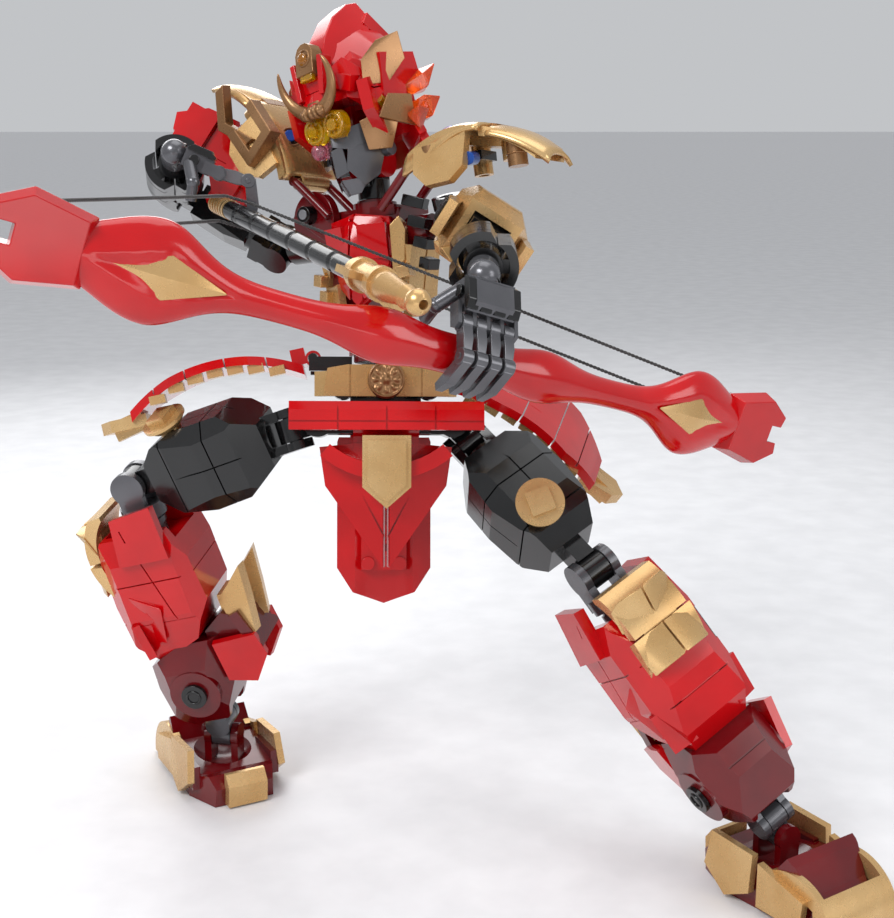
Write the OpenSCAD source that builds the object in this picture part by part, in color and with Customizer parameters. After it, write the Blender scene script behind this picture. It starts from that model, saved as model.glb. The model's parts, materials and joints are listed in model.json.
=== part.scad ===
// Posable brick-built samurai archer; rest pose with the bow drawn, both soles flat.
// Each limb is drawn in its own frame: joint centre at the origin, limb along -Z, front along -Y.

/* [Skeleton] */
// Distance between the hip centres
hip_gap = 46; // [42:1:52]
// Thigh, swing hinge to knee
thigh_len = 64; // [60:1:72]
// Shin, knee to ankle
shin_len = 98; // [92:1:108]
// Roll axis of the ankle above the sole
sole_drop = 19; // [18:1:24]
// Pelvis centre to waist turntable
waist_rise = 16; // [15:1:20]
// Bend hinge to neck turntable
torso_rise = 48; // [48:1:56]
// Distance between the shoulder centres
shoulder_gap = 64; // [60:1:70]
// Upper arm, spread hinge to elbow
upper_len = 44; // [42:1:50]
// Forearm, elbow to wrist
fore_len = 44; // [42:1:50]
// Wrist to knuckle rod
palm_len = 16; // [15:1:20]

/* [Joints] */
// Hinge pin diameter
pin_d = 4.8; // [4:0.1:5.4]
// Width of the tongue of the large hinges
tongue_w = 8; // [7:0.5:9]
// Thickness of each cheek of a fork
cheek_t = 3; // [2.4:0.2:3.4]
// Diameter of the large hinge discs
disc_d = 11; // [10:0.5:12]
// Free gap around pins and beside tongues
gap = 0.35; // [0.3:0.05:0.5]

/* [Bow and arrow] */
// Straight-line reach of each bow limb
limb_len = 128; // [110:1:140]
// Backward sweep of the limbs towards the string
limb_back = 16; // [10:1:24]
// Width of the teardrop bulge of each limb
bulge_w = 27; // [22:1:30]
// Arrow length
arrow_len = 160; // [150:1:180]
// Arrow shaft diameter
shaft_d = 5.6; // [5:0.1:6.2]
// Bowstring cord diameter
cord_d = 1.2; // [1:0.1:1.5]

/* [Armour] */
// Length of the side skirts
skirt_len = 74; // [66:1:80]
// Length of the rear skirt
rear_len = 66; // [56:1:72]
// Width of the shin armour
shin_w = 34; // [30:1:36]
// Width of the thigh shell
thigh_w = 31; // [27:1:33]
// Shell thickness of the curved skirts and guards
shell_t = 3; // [2.4:0.2:3.6]
// Dish diameter on the thighs
dish_d = 16; // [14:1:18]
// Medallion diameter on the belt
medal_d = 12.6; // [11:0.2:14]
// Tile seam width
seam = 0.5; // [0.3:0.1:0.8]

/* [Pose] */
// Pelvis turn, roll and pitch
pelvis_pose = [3, 1, -14];
// Waist turn
waist_turn = -38; // [-60:1:40]
// Torso bend and fixed lean
torso_pose = [6, -1];
// Head turn, nod and fixed tilt
head_pose = [-6, 7, -7];
// Right arm: swing, spread, twist, elbow
arm_r = [-142, 46, 118, -97];
// Left arm: swing, spread, twist, elbow
arm_l = [-72, -30, -134, 2];
// Right hand: wrist turn, fixed flex, fixed tilt
wrist_r = [83, -15, 94];
// Left hand: wrist turn, fixed flex, fixed tilt
wrist_l = [15, -41, 36];
// Opening of the right and left fingers
finger_open = [9, 0];
// Right leg: spread, swing, twist, knee
leg_r = [72, 20, -73, 84];
// Left leg: spread, swing, twist (its knee follows from the floor)
leg_l = [-42, -25, 18];
// Outward turn of the right and left foot
toe_turn = [52, 4];
// Opening of the right and left side skirts
side_open = [77, 56];
// Twist of the right and left side skirts towards the front
side_twist = [0, 30];
// Lift of the right and left shoulder guards
guard_lift = [58, 4];
// Set of the bow in the grip
bow_set = 145; // [130:1:160]
// Shift of the whole figure so that it stands over the origin
place = [-27.5, 45.9];

/* [Hidden] */
$fn = 40;
eps = 0.02;
big = 200;
hub_drop = 9;          // hip spread axis to swing axis
hub_out = 11;          // shoulder centre to spread axis
cross_drop = 7;        // ankle pitch axis to roll axis
bend_rise = 8;         // waist turntable to bend hinge
nod_rise = 12;         // neck turntable to nod hinge
shoulder_up = 36;      // bend hinge to shoulder centre
small_d = 9.6;         // small hinge discs
small_w = 7;
bore_d = pin_d + 2 * gap;
fork_w = tongue_w + 2 * gap + 2 * cheek_t;
grip = [0, -9, -21];   // centre of a gripped rod in the hand frame
nock_at = [12.6, 0, 29];  // arrow line in the bow frame
red = [0.8, 0.04, 0.04];
maroon = [0.32, 0.02, 0.03];
gold = [0.78, 0.63, 0.42];
bronze = [0.46, 0.31, 0.19];
black = [0.07, 0.07, 0.08];
steel = [0.42, 0.42, 0.45];
amber = [0.95, 0.8, 0.15];

function mT(v) = [[1, 0, 0, v[0]], [0, 1, 0, v[1]], [0, 0, 1, v[2]], [0, 0, 0, 1]];
function mX(a) = [[1, 0, 0, 0], [0, cos(a), -sin(a), 0], [0, sin(a), cos(a), 0], [0, 0, 0, 1]];
function mY(a) = [[cos(a), 0, sin(a), 0], [0, 1, 0, 0], [-sin(a), 0, cos(a), 0], [0, 0, 0, 1]];
function mZ(a) = [[cos(a), -sin(a), 0, 0], [sin(a), cos(a), 0, 0], [0, 0, 1, 0], [0, 0, 0, 1]];
function pick(s, r, l) = s < 0 ? r : l;

// Legs: the pelvis stands at zero height first, then rises by the drop of the right leg.
m_tilt = mZ(pelvis_pose[0]) * mY(pelvis_pose[1]) * mX(pelvis_pose[2]);
function hip0(s) = m_tilt * mT([s * hip_gap / 2, 0, -4]) * mY(pick(s, leg_r, leg_l)[0]);
function thigh0(s) = hip0(s) * mT([0, 0, -hub_drop]) * mX(pick(s, leg_r, leg_l)[1]);
function shin0(s, k) = thigh0(s) * mZ(pick(s, leg_r, leg_l)[2]) * mT([0, 0, -thigh_len]) * mX(k);
function ankle0(s, k) = shin0(s, k) * mT([0, 0, -shin_len]);
function pitch_of(m) = atan2(-m[2][1], m[2][2]);
function roll_of(m) = atan2(m[2][0], sqrt(pow(m[2][1], 2) + pow(m[2][2], 2)));
function drop(s, k) = let(m = ankle0(s, k)) -m[2][3] + cross_drop * cos(roll_of(m)) + sole_drop;
function solve(lo, hi, want, n) = n == 0 ? (lo + hi) / 2 :
    let(mid = (lo + hi) / 2) drop(1, mid) < want ? solve(mid, hi, want, n - 1) : solve(lo, mid, want, n - 1);
pelvis_z = drop(-1, leg_r[3]);
knee_l = solve(2, 50, pelvis_z, 24);

m_pelvis = mT([place[0], place[1], pelvis_z]) * m_tilt;
m_abdomen = m_pelvis * mT([0, 0, waist_rise]) * mZ(waist_turn);
m_torso = m_abdomen * mT([0, 0, bend_rise]) * mX(torso_pose[0]) * mY(torso_pose[1]);
m_neck = m_torso * mT([0, 0, torso_rise]) * mZ(head_pose[0]);
m_nod = m_neck * mT([0, 0, nod_rise]) * mX(head_pose[1]);
m_head = m_nod * mY(head_pose[2]);
function arm(s) = pick(s, arm_r, arm_l);
function wrist(s) = pick(s, wrist_r, wrist_l);
function m_shoulder(s) = m_torso * mT([s * shoulder_gap / 2, 0, shoulder_up]) * mX(arm(s)[0]);
function m_spread(s) = m_shoulder(s) * mT([s * hub_out, 0, 0]) * mY(arm(s)[1]);
function m_upper(s) = m_spread(s) * mZ(arm(s)[2]);
function m_fore(s) = m_upper(s) * mT([0, 0, -upper_len]) * mX(arm(s)[3]);
function m_wrist(s) = m_fore(s) * mT([0, 0, -fore_len]) * mZ(wrist(s)[0]);
function m_hand(s) = m_wrist(s) * mX(wrist(s)[1]) * mY(wrist(s)[2]);
function m_finger(s) = m_hand(s) * mT([0, 0, -palm_len]) * mX(pick(s, finger_open[0], finger_open[1]));
m_bow = m_hand(1) * mT(grip) * mX(bow_set) * mY(90);
m_arrow = m_bow * mT(nock_at);
m_base = mT([place[0], place[1], pelvis_z]);
function m_hip(s) = m_base * hip0(s);
function m_swing(s) = m_base * thigh0(s);
function m_thigh(s) = m_swing(s) * mZ(pick(s, leg_r, leg_l)[2]);
function m_shin(s) = m_base * shin0(s, pick(s, leg_r[3], knee_l));
function m_ankle(s) = let(m = m_shin(s)) m * mT([0, 0, -shin_len]) * mX(pitch_of(m));
function m_foot(s) = let(m = m_shin(s)) m_ankle(s) * mT([0, 0, -cross_drop]) * mY(roll_of(m))
    * mZ(s * pick(s, toe_turn[0], toe_turn[1]));
front_at = [0, -15, -7];
rear_at = [0, 15.2, -2];
function side_at(s) = [s * 25, 18, 18.4];
function guard_at(s) = [s * 25, -3, 57];
m_front = m_pelvis * mT(front_at);
m_rear = m_pelvis * mT(rear_at);
function m_side(s) = m_pelvis * mT(side_at(s)) * mY(-s * pick(s, side_open[0], side_open[1]));
function m_guard(s) = m_torso * mT(guard_at(s)) * mY(-s * pick(s, guard_lift[0], guard_lift[1]));

// ---- shared shapes ----
module rodx(d, l) rotate([0, 90, 0]) cylinder(d = d, h = l, center = true);
module rody(d, l) rotate([90, 0, 0]) cylinder(d = d, h = l, center = true);
module rodz(d, l) cylinder(d = d, h = l, center = true);
module block(s, at = [0, 0, 0]) translate(at) cube(s, center = true);
module side(p, w) rotate([90, 0, 90]) linear_extrude(w, center = true) polygon(p);
module front(p, d = big) rotate([90, 0, 0]) linear_extrude(d, center = true) polygon(p);
module plan(p, h = big) linear_extrude(h, center = true) polygon(p);
module both_ways(f, s) intersection() { front(f); side(s, big); }
module mirror_pair() { children(); mirror([1, 0, 0]) children(); }
module tongue_x(d, w) difference() { rodx(d, w); rodx(bore_d, w + 1); }
module fork_x(d, w) {
    for (x = [-1, 1]) translate([x * (w / 2 + gap + cheek_t / 2), 0, 0]) rodx(d, cheek_t);
    rodx(pin_d, w + 2 * gap + eps);
}
module turned_y() rotate([0, 0, 90]) children();
// Strut between two points.
module strut(a, b, d, sides = 24) {
    v = b - a;
    l = norm(v);
    translate(a) rotate([0, acos(v[2] / l), atan2(v[1], v[0])]) cylinder(d = d, h = l, $fn = sides);
}
// Clip ring of a flap around its hinge rod along X, with a strap running down.
module clip_x(w, reach) difference() {
    union() { rodx(5.6, w); block([w, 2.4, reach], [0, 0, -reach / 2]); }
    rodx(3.2 + 2 * gap, w + 1);
}
// Arc band in the x-z plane, extruded along y: radius r, thickness t, from a0 to a1 degrees.
module band(r, t, a0, a1, w, n = 14) front(concat(
    [for (i = [0:n]) let(a = a0 + (a1 - a0) * i / n) [r * cos(a), r * sin(a)]],
    [for (i = [n:-1:0]) let(a = a0 + (a1 - a0) * i / n) [(r - t) * cos(a), (r - t) * sin(a)]]), w);
// Faceted shell of two profiles with its long edges cut at 45 degrees.
module faceted(f, s, across) intersection() {
    both_ways(f, s);
    rotate([0, 0, 45]) cube([across, across, big * 2], center = true);
}
module stud() cylinder(d = 4.8, h = 1.8);

// ---- pelvis ----
module hip_block() color(black) multmatrix(m_pelvis) {
    difference() {
        union() {
            block([24, 20, 16], [0, 2, 1]);
            block([18, 14, 6], [0, 1, 10]);
            for (s = [-1, 1], y = [-1, 1])
                block([s == 0 ? 0 : hip_gap / 2 - 8, cheek_t, 9],
                      [s * (8 + hip_gap / 2) / 2, y * (tongue_w / 2 + gap + cheek_t / 2), -4]);
        }
        for (s = [-1, 1]) translate([s * 9, -8, 3]) rody(5, 8);
        for (z = [-3, 4]) block([25, 1, seam], [0, -8, z]);
    }
    translate([0, 0, 13.5]) rodz(16, 4.4);
    translate([0, 0, 14.8]) rodz(pin_d + 1, 6.4);
    for (s = [-1, 1]) {
        translate([s * hip_gap / 2, 0, -4]) turned_y() fork_x(disc_d, tongue_w);
        translate([s * 14.5, -9.5, 7]) difference() { rody(8, 8); translate([0, -2, 0]) rody(5, 8); }
    }
    // rods that carry the four skirts
    translate(front_at) rodx(3.2, 30);
    for (x = [-13, 13]) block([3.2, 8, 4], [x, -12, -6.6]);
    block([29, 3, 6], [0, -8.6, -5]);
    translate(rear_at) rodx(3.2, 32);
    for (x = [-14, 14]) block([3.2, 8, 5], [x, 13, -1.8]);
    block([31, 4, 9], [0, 9.4, -1.6]);
    for (s = [-1, 1]) {
        translate(side_at(s)) rody(3.2, 24);
        for (y = [-10.6, 10.6]) block([15, 2.4, 5], [s * 18.9, side_at(s)[1] + y, side_at(s)[2] - 2]);
        block([8.6, 23.6, 6], [s * 8.5, side_at(s)[1], 12.8]);
    }
}
module belt_form() {
    color(gold) multmatrix(m_pelvis) translate([0, -13.3, 0]) {
        difference() {
            union() {
                front([[-21, 4], [21, 4], [19.6, 13.4], [13, 14.6], [-13, 14.6], [-19.6, 13.4]], 3);
                block([16, 6, 8], [0, 2.6, 8]);
                for (s = [-1, 1]) translate([s * 20, 3.4, 8.4]) rotate([0, 0, s * 38]) block([8, 3, 8.4]);
            }
            for (x = [-12, 12]) block([seam, 1, 14], [x, -1.4, 9]);
        }
    }
    color(bronze) multmatrix(m_pelvis) translate([0, -14.6, 9.4]) {
        translate([0, -1, 0]) rody(medal_d, 3);
        translate([0, -2.6, 0]) rody(medal_d * 0.7, 1);
        translate([0, -3, 0]) rody(medal_d * 0.3, 1.6);
        for (a = [0:45:315]) rotate([0, a, 0]) block([1.1, 1.2, 2.6], [0, -2.7, medal_d * 0.38]);
    }
}
module front_beam() color(red) multmatrix(m_pelvis) translate([0, -22.5, -3]) {
    difference() {
        union() {
            side([[-4, -4.6], [3.2, -4.6], [3.2, 4.8], [-2.6, 4.8], [-4, 2]], 64);
            for (s = [-1, 1]) side([[-4, -4.6], [3.2, -4.6], [3.2, 4.8], [-2.6, 4.8], [-4, 2]], 12);
        }
        for (x = [-16, 0, 16]) block([seam, 1.4, 12], [x, -4, 0]);
        block([66, 1.2, seam], [0, -4, -1.8]);
    }
    block([22, 6.6, 5], [0, 5.5, 1.6]);
}
module front_skirt() color(red) multmatrix(m_front) {
    clip_x(22, 7);
    difference() {
        union() {
            // two facets folded along the middle line, a curved apron over them
            for (s = [-1, 1]) rotate([0, 0, s * 16]) translate([0, -2.6, 0])
                front([[0, -4], [s * 22, -6], [s * 20, -19], [0, -46]], shell_t);
            translate([0, -4.8, 17]) intersection() {
                band(34, 5, 230, 310, 7);
                block([46, 9, 20], [0, 0, -28]);
            }
        }
        for (s = [-1, 1]) translate([s * 9, -5, -20]) rotate([0, s * 28, 0]) block([seam, 6, 40]);
        translate([0, 6.4, 0]) block([60, 8, 100]);
        rodx(3.2 + 2 * gap, 30);
    }
    block([12, 3.6, 12], [0, -3.4, -12]);
}
module badge_form() color(gold) multmatrix(m_front) translate([0, -9.6, -13.4]) {
    front([[-8, 11], [8, 11], [8, -6], [0, -13], [-8, -6]], 2.8);
    translate([0, -1.7, 0]) front([[-6.4, 9.4], [6.4, 9.4], [6.4, -5.2], [0, -11], [-6.4, -5.2]], 1);
}
module rear_skirt() color(red) multmatrix(m_rear) {
    clip_x(24, 8);
    difference() {
        union() {
            intersection() {
                translate([0, -25, 0]) difference() { rodz(60, 2 * rear_len + 4); rodz(60 - 2 * shell_t, big * 2); }
                front([[-16, -7], [16, -7], [23, -26], [20, -48], [11, -62], [0, -rear_len],
                       [-11, -62], [-20, -48], [-23, -26]], big);
                block([60, 40, big], [0, 20, 0]);
            }
            // stud plate on the inner face
            translate([0, 0.5, -46]) block([16, 4, 16]);
            translate([0, 1, -22]) block([8, 3.6, 22]);
        }
        for (z = [-15, -30]) translate([0, 8, z]) block([60, 3, seam]);
        for (s = [-1, 1]) translate([s * 9, 6, -32]) block([seam, 3, 60]);
        translate([0, -1.2, -46]) rody(6, 2);
    }
    translate([0, -1.4, -46]) rotate([90, 0, 0]) difference() { cylinder(d = 5, h = 1.2); cylinder(d = 3, h = 3, center = true); }
    for (x = [-5.6, 5.6], z = [-5.6, 5.6]) translate([x, -1.2, z - 46]) rotate([90, 0, 0]) cylinder(d = 2.6, h = 1.2);
    for (z = [-14, -22, -30]) translate([0, -0.6, z]) rotate([90, 0, 0]) cylinder(d = 3, h = 1);
}
// Side skirt frame: hinge rod along Y, plate hanging down; s gives the outer side.
module side_frame(s) multmatrix(m_side(s)) mirror([s < 0 ? 1 : 0, 0, 0]) children();
module skirt_shape() front([[-30, 4], [30, 4], [30, -big], [-30, -big]], big);
module side_skirt(s) color(red) side_frame(s) {
    turned_y() clip_x(18, 6);
    rotate([0, 0, -pick(s, side_twist[0], side_twist[1])]) difference() {
        intersection() {
            translate([-52, 0, -skirt_len / 2 + 4]) {
                difference() { rody(2 * 58, 44); rody(2 * (58 - shell_t), 50); }
            }
            side([[-13, -2], [14, -2], [19, -22], [19, -50], [11, -skirt_len + 8], [-9, -skirt_len + 8],
                  [-18, -50], [-18, -22]], big);
            block([80, 80, skirt_len - 10], [24, 0, -skirt_len / 2 + 1]);
        }
        for (z = [-16, -30, -44, -56]) block([30, 50, seam], [14.5, 0, z]);
        for (y = [-7, 7]) translate([7.4, y, -30]) block([3, seam, 60]);
    }
    block([5, 18, 5], [2, 0, -5]);
}
module side_trim_form(s) color(gold) side_frame(s) rotate([0, 0, -pick(s, side_twist[0], side_twist[1])]) {
    for (i = [0:6]) let(z = -13 - i * 7, x = sqrt(pow(58 - shell_t, 2) - pow(z + skirt_len / 2 - 4, 2)) - 52) {
        block([3, 5, 5.4], [x - 1.2, -14.4, z]);
    }
    let(z = -skirt_len + 9, x = sqrt(pow(58 - shell_t, 2) - pow(z + skirt_len / 2 - 4, 2)) - 52)
        translate([x - 0.6, 0, z]) {
            side([[-8, 4], [9, 4], [7, -9], [0, -13], [-6, -9]], 4.2);
            rotate([0, 12, 0]) side([[-3, 3], [3, 3], [2, -9], [-2, -9]], 7);
        }
}

// ---- torso ----
module abdomen() color(maroon) multmatrix(m_abdomen) {
    difference() {
        union() {
            translate([0, 0, 1.6]) rodz(21, 2.6);
            translate([0, 0, 4]) plan([[-11, -6], [-7, -8.6], [7, -8.6], [11, -6], [11, 6], [7, 8.6], [-7, 8.6], [-11, 6]], 2.6);
            for (s = [-1, 1]) block([cheek_t + 2, 11, 7], [s * (tongue_w / 2 + gap + cheek_t / 2 + 1), 0, bend_rise - 4]);
        }
        translate([0, 0, 1]) rodz(pin_d + 1 + 2 * gap, 9);
        translate([0, 0, bend_rise]) rodx(disc_d + 2 * gap + 0.6, tongue_w + 2 * gap);
    }
    translate([0, 0, bend_rise]) fork_x(disc_d, tongue_w);
}
module torso_core() color(maroon) multmatrix(m_torso) {
    difference() {
        union() {
            rodx(disc_d, tongue_w);
            block([tongue_w, 10, 8], [0, 0, 6]);
            difference() {
                faceted([[-10, 8.2], [10, 8.2], [16, 20], [17, 30], [14, 44], [-14, 44], [-17, 30], [-16, 20]],
                        [[-5, 8.2], [9, 8.2], [13, 22], [12, 40], [8, 44], [-6, 44], [-9, 34], [-8, 18]], 32);
                for (z = [16, 25]) block([60, 60, seam], [0, 34, z]);
                block([seam, 60, 60], [0, 36, 30]);
            }
        }
        rodx(bore_d, tongue_w + 1);
    }
    translate([0, 0, 45]) rodz(15, 4);
    translate([0, 0, torso_rise - 2.1]) rodz(12, 4);
    translate([0, 0, torso_rise - 1]) rodz(pin_d + 1, 13);
    for (s = [-1, 1]) {
        translate([s * 19.5, 0, shoulder_up]) rodx(10, 8);
        translate([s * (shoulder_gap / 2 - 8.7), 0, shoulder_up]) rodx(pin_d + 1.2, 21);
        // rod carrying the shoulder guard
        translate(guard_at(s)) rody(3.2, 20);
        for (y = [-8.8, 8.8]) strut([s * 11, guard_at(s)[1] + y, 43.4], guard_at(s) + [0, y, 0], 3.2);
    }
    block([26, 20, 3.2], [0, 3, 43.4]);
    // back pack plate
    translate([0, 12, 28]) front([[-9, -12], [9, -12], [12, 4], [8, 13], [-8, 13], [-12, 4]], 5);
    translate([0, 15, 30]) rody(10, 3);
}
module chest_form() color(red) multmatrix(m_torso) {
    difference() {
        union() {
            for (s = [-1, 1]) translate([0, -10.4, 0]) rotate([0, 0, s * 14])
                front([[0, 12], [s * 9, 18], [s * 13, 30], [s * 12, 41], [0, 43]], 3.4);
            for (s = [-1, 1]) translate([s * 7.4, -12.4, 33]) rotate([8, 0, s * 18]) block([10, 3, 12]);
            block([8, 6, 26], [0, -9, 28]);
        }
        translate([0, 12, 0]) block([60, 40 - 2 * 8.9, big]);
        for (z = [21, 27]) block([40, 3, seam], [0, -13.4, z]);
    }
    translate([0, -13, 37]) rody(6.5, 3);
    translate([0, -12.4, 17]) front([[-3, 4], [3, 4], [2, -3], [0, -5], [-2, -3]], 3);
}
module rib_form() color(gold) multmatrix(m_torso) {
    for (s = [-1, 1], i = [0:2])
        translate([s * (17.4 - i * 1.1), 1, 27 - i * 7.4]) rotate([0, s * (14 - i * 3), 0]) difference() {
            side([[-9, 4], [8, 4], [8, -3.4], [4, -5], [-6, -5], [-9, -2]], 3);
            block([1, 1, 12], [s * 1.6, 0, 0]);
        }
    for (s = [-1, 1]) translate([s * 11.6, -9.6, 14.6]) rotate([0, s * 8, s * 30])
        front([[-4, 5], [4, 5], [4, -3], [0, -6], [-4, -3]], 2.6);
}
module neck_post() color(black) multmatrix(m_neck) {
    difference() {
        union() {
            translate([0, 0, 3.5]) rodz(11, 6.4);
            block([tongue_w - 1, 9, 6], [0, 0, 7.6]);
            translate([0, 0, nod_rise]) rodx(small_d, tongue_w - 1);
        }
        rodz(pin_d + 1 + 2 * gap, 13.2);
        translate([0, 0, nod_rise]) rodx(bore_d - 1, tongue_w);
    }
}

// ---- head ----
crest = [[-17, 25], [-16, 33], [-12, 41], [-5, 49], [4, 54.4], [9, 55.6], [8, 51], [12, 48], [17, 45], [14, 39], [6, 33], [-4, 25]];
module nod_fork() multmatrix(mY(-head_pose[2])) {
    for (x = [-1, 1]) translate([x * ((tongue_w - 1) / 2 + gap + 1.5), 0, 0]) {
        rodx(small_d, 3);
        block([3, 7, 22], [0, 1.5, 11]);
    }
    rodx(pin_d - 1, tongue_w + 2);
    block([14, 8, 4], [0, 4, 21]);
}
module helmet() color(red) multmatrix(m_head) {
    difference() {
        union() {
            faceted([[-15, 7], [-19, 20], [-16.5, 31], [-8, 38], [8, 38], [16.5, 31], [19, 20], [15, 7]],
                    [[-16, 21], [-15, 31], [-6, 38], [8, 37], [17, 28], [19, 14], [15, 4], [4, 6], [-2, 14]], 38);
            // brow and cheek frame
            for (s = [-1, 1]) {
                translate([s * 9, -15, 27]) rotate([0, s * 24, 0]) block([13, 5, 5]);
                translate([s * 15.4, -9, 17]) rotate([0, 0, s * 20]) side([[-6, 8], [7, 10], [7, -9], [1, -10], [-6, -2]], 4);
            }
        }
        // face cavity and seams
        translate([0, -8, 8]) block([22, 26, 26]);
        translate([0, 0, 0]) rodx(small_d + 3, 14);
        translate([0, 0, -2]) block([14, 14, 14]);
        for (s = [-1, 1]) block([seam, 60, 3], [s * 7, 6, 38]);
        block([60, 60, seam], [0, 18, 22]);
    }
    nod_fork();
    // crest fin of two leaning walls
    difference() {
        side(crest, 8.4);
        for (s = [-1, 1]) translate([s * 6.4, 0, 46]) rotate([0, s * -9, 0]) block([6, 70, 60]);
        block([9, 8, seam], [0, -14, 34]);
    }
    block([9, 4, 8], [0, -17, 30]);
    // neck guard plates at the back
    for (s = [-1, 1], i = [0:1]) translate([s * (13.5 + i), 9 + i * 2, 8 - i * 8]) rotate([12, s * -14, s * -34])
        block([16, 3, 10]);
    block([18, 3, 11], [0, 18.6, 4]);
    for (s = [-1, 1]) translate([s * 18.4, 2, 25]) rotate([0, s * 10, 0]) side([[-9, 8], [8, 8], [11, -2], [4, -8], [-9, -6]], 3);
}
module horns_form() color(bronze) multmatrix(m_head) {
    translate([0, -19.6, 30]) for (s = [-1, 1]) {
        intersection() {
            difference() { rody(24, 3); translate([0, 0, 4]) rody(20.6, 5); }
            front([[0, 6], [s * 14, 12], [s * 14, -14], [0, -14]], 9);
        }
    }
    translate([0, -20.6, 20]) rodx(3.4, 9);
    block([5, 4, 5], [0, -18.6, 20.6]);
    block([6, 4, 9], [0, -17.6, 28]);
    // ear plates swept out from the brow
    for (s = [-1, 1]) translate([s * 21, -6, 24]) rotate([0, s * 22, s * -24]) difference() {
        side([[-8, -4], [-9, 5], [-2, 12], [6, 8], [8, -3]], 3);
        block([4, 20, 0.6], [s * 2, 0, 3]);
    }
}
module mask_form() color(steel) multmatrix(m_head) {
    difference() {
        faceted([[-9, 12], [9, 12], [10, 2], [7, -6], [3, -10], [-3, -10], [-7, -6], [-10, 2]],
                [[-15, 10], [-17, 2], [-16, -7], [-12, -10], [-8, -4], [-7.4, 12], [-12, 13]], 24);
        for (z = [-5, -1.6]) block([14, 2, 0.8], [0, -17, z]);
        for (s = [-1, 1]) translate([s * 6, -14, -6]) rotate([0, s * 30, 0]) block([0.8, 12, 12]);
    }
    block([19, 4, 6], [0, -7.5, 11]);
    for (s = [-1, 1]) block([3, 9, 8], [s * 10.6, -5.6, 8]);
}
module lamps_form() color(amber) multmatrix(m_head) {
    for (s = [-1, 1]) translate([s * 5.6, -14, 16]) {
        rody(9, 6);
        translate([0, -3, 0]) rody(6.4, 3);
    }
    translate([0, -19.4, 33.4]) block([4.4, 3, 3.6]);
    for (s = [-1, 1]) {
        translate([s * 20.6, 9, 19]) rotate([0, s * 8, 0]) block([5, 7, 5]);
        translate([s * 19.6, 10, 12.4]) block([4, 5, 4.6]);
    }
}

// ---- arms ----
module shoulder_hub(s) color(black) multmatrix(m_shoulder(s)) mirror([s < 0 ? 1 : 0, 0, 0]) {
    difference() {
        union() {
            rodx(13, 8);
            block([7, 8, tongue_w - 0.4], [5, 0, 0]);
            translate([hub_out, 0, 0]) rody(disc_d, tongue_w);
        }
        translate([-1.6, 0, 0]) rodx(pin_d + 1.2 + 2 * gap, 8);
        translate([hub_out, 0, 0]) rody(bore_d, tongue_w + 1);
    }
    translate([-0.5, -8, 0]) difference() { rody(10, 4); translate([0, -2, 0]) rody(5, 3); }
}
guard_plate = [[-15, 0], [15, 0], [17, 20], [13, 46], [-11, 46], [-16, 20]];
module shoulder_guard(s) color(gold) multmatrix(m_guard(s)) mirror([s < 0 ? 1 : 0, 0, 0]) {
    turned_y() clip_x(14, 0.1);
    difference() {
        union() {
            block([5, 14, 2.4], [4.9, 0, 2]);
            intersection() {
                translate([20, 0, -32]) difference() { rody(76, 40); rody(76 - 2 * shell_t, 44); }
                union() {
                    plan([[2, -14], [26, -16], [26, 14], [2, 12]]);
                    plan([[29, -13], [46, -9], [46, 9], [29, 12]]);
                }
                block([80, 60, 40], [30, 0, 10]);
            }
            // link between the two plates and the flap hanging in front
            translate([26, 0, 1.4]) rotate([0, 14, 0]) block([14, 12, 3]);
            translate([17, -15.6, -2.4]) rotate([-14, 0, 0]) front([[-11, 4.4], [9, 5.6], [8, -5], [3, -9], [-6, -9], [-11, -4]], shell_t);
        }
        translate([15, -8, 4]) rotate([18, 0, 0]) cylinder(d = 6.4, h = 20, center = true);
        block([seam, 60, 2], [14, 0, 6.4]);
    }
    // hanging peg tubes
    for (p = [[17, 7, 10], [34, -2, 9]]) translate([p[0], p[1], -p[2] / 2 + 3]) difference() {
        cylinder(d = 6.4, h = p[2], center = true);
        translate([0, 0, -3]) cylinder(d = 3.6, h = p[2], center = true);
    }
}
module upper_arm(s) color(black) {
    multmatrix(m_spread(s)) turned_y() {
        fork_x(disc_d, tongue_w);
        difference() {
            translate([0, 0, -7.6]) cube([fork_w, 10, 4], center = true);
        }
        for (x = [-1, 1]) block([cheek_t, 9, 7], [x * (tongue_w / 2 + gap + cheek_t / 2), 0, -4]);
    }
    multmatrix(m_upper(s)) difference() {
        union() {
            translate([0, 0, -13]) rodz(12, 10);
            faceted([[-6, -12], [6, -12], [7, -20], [6, -34], [-6, -34], [-7, -20]],
                    [[-6, -12], [6, -12], [7, -22], [5, -34], [-5, -34], [-7, -22]], 17);
            block([small_w - eps, 8, 10], [0, 0, -upper_len + 7]);
            translate([0, 0, -upper_len]) rodx(small_d, small_w);
        }
        translate([0, 0, -upper_len]) rodx(bore_d - 0.6, small_w + 1);
    }
}
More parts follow.
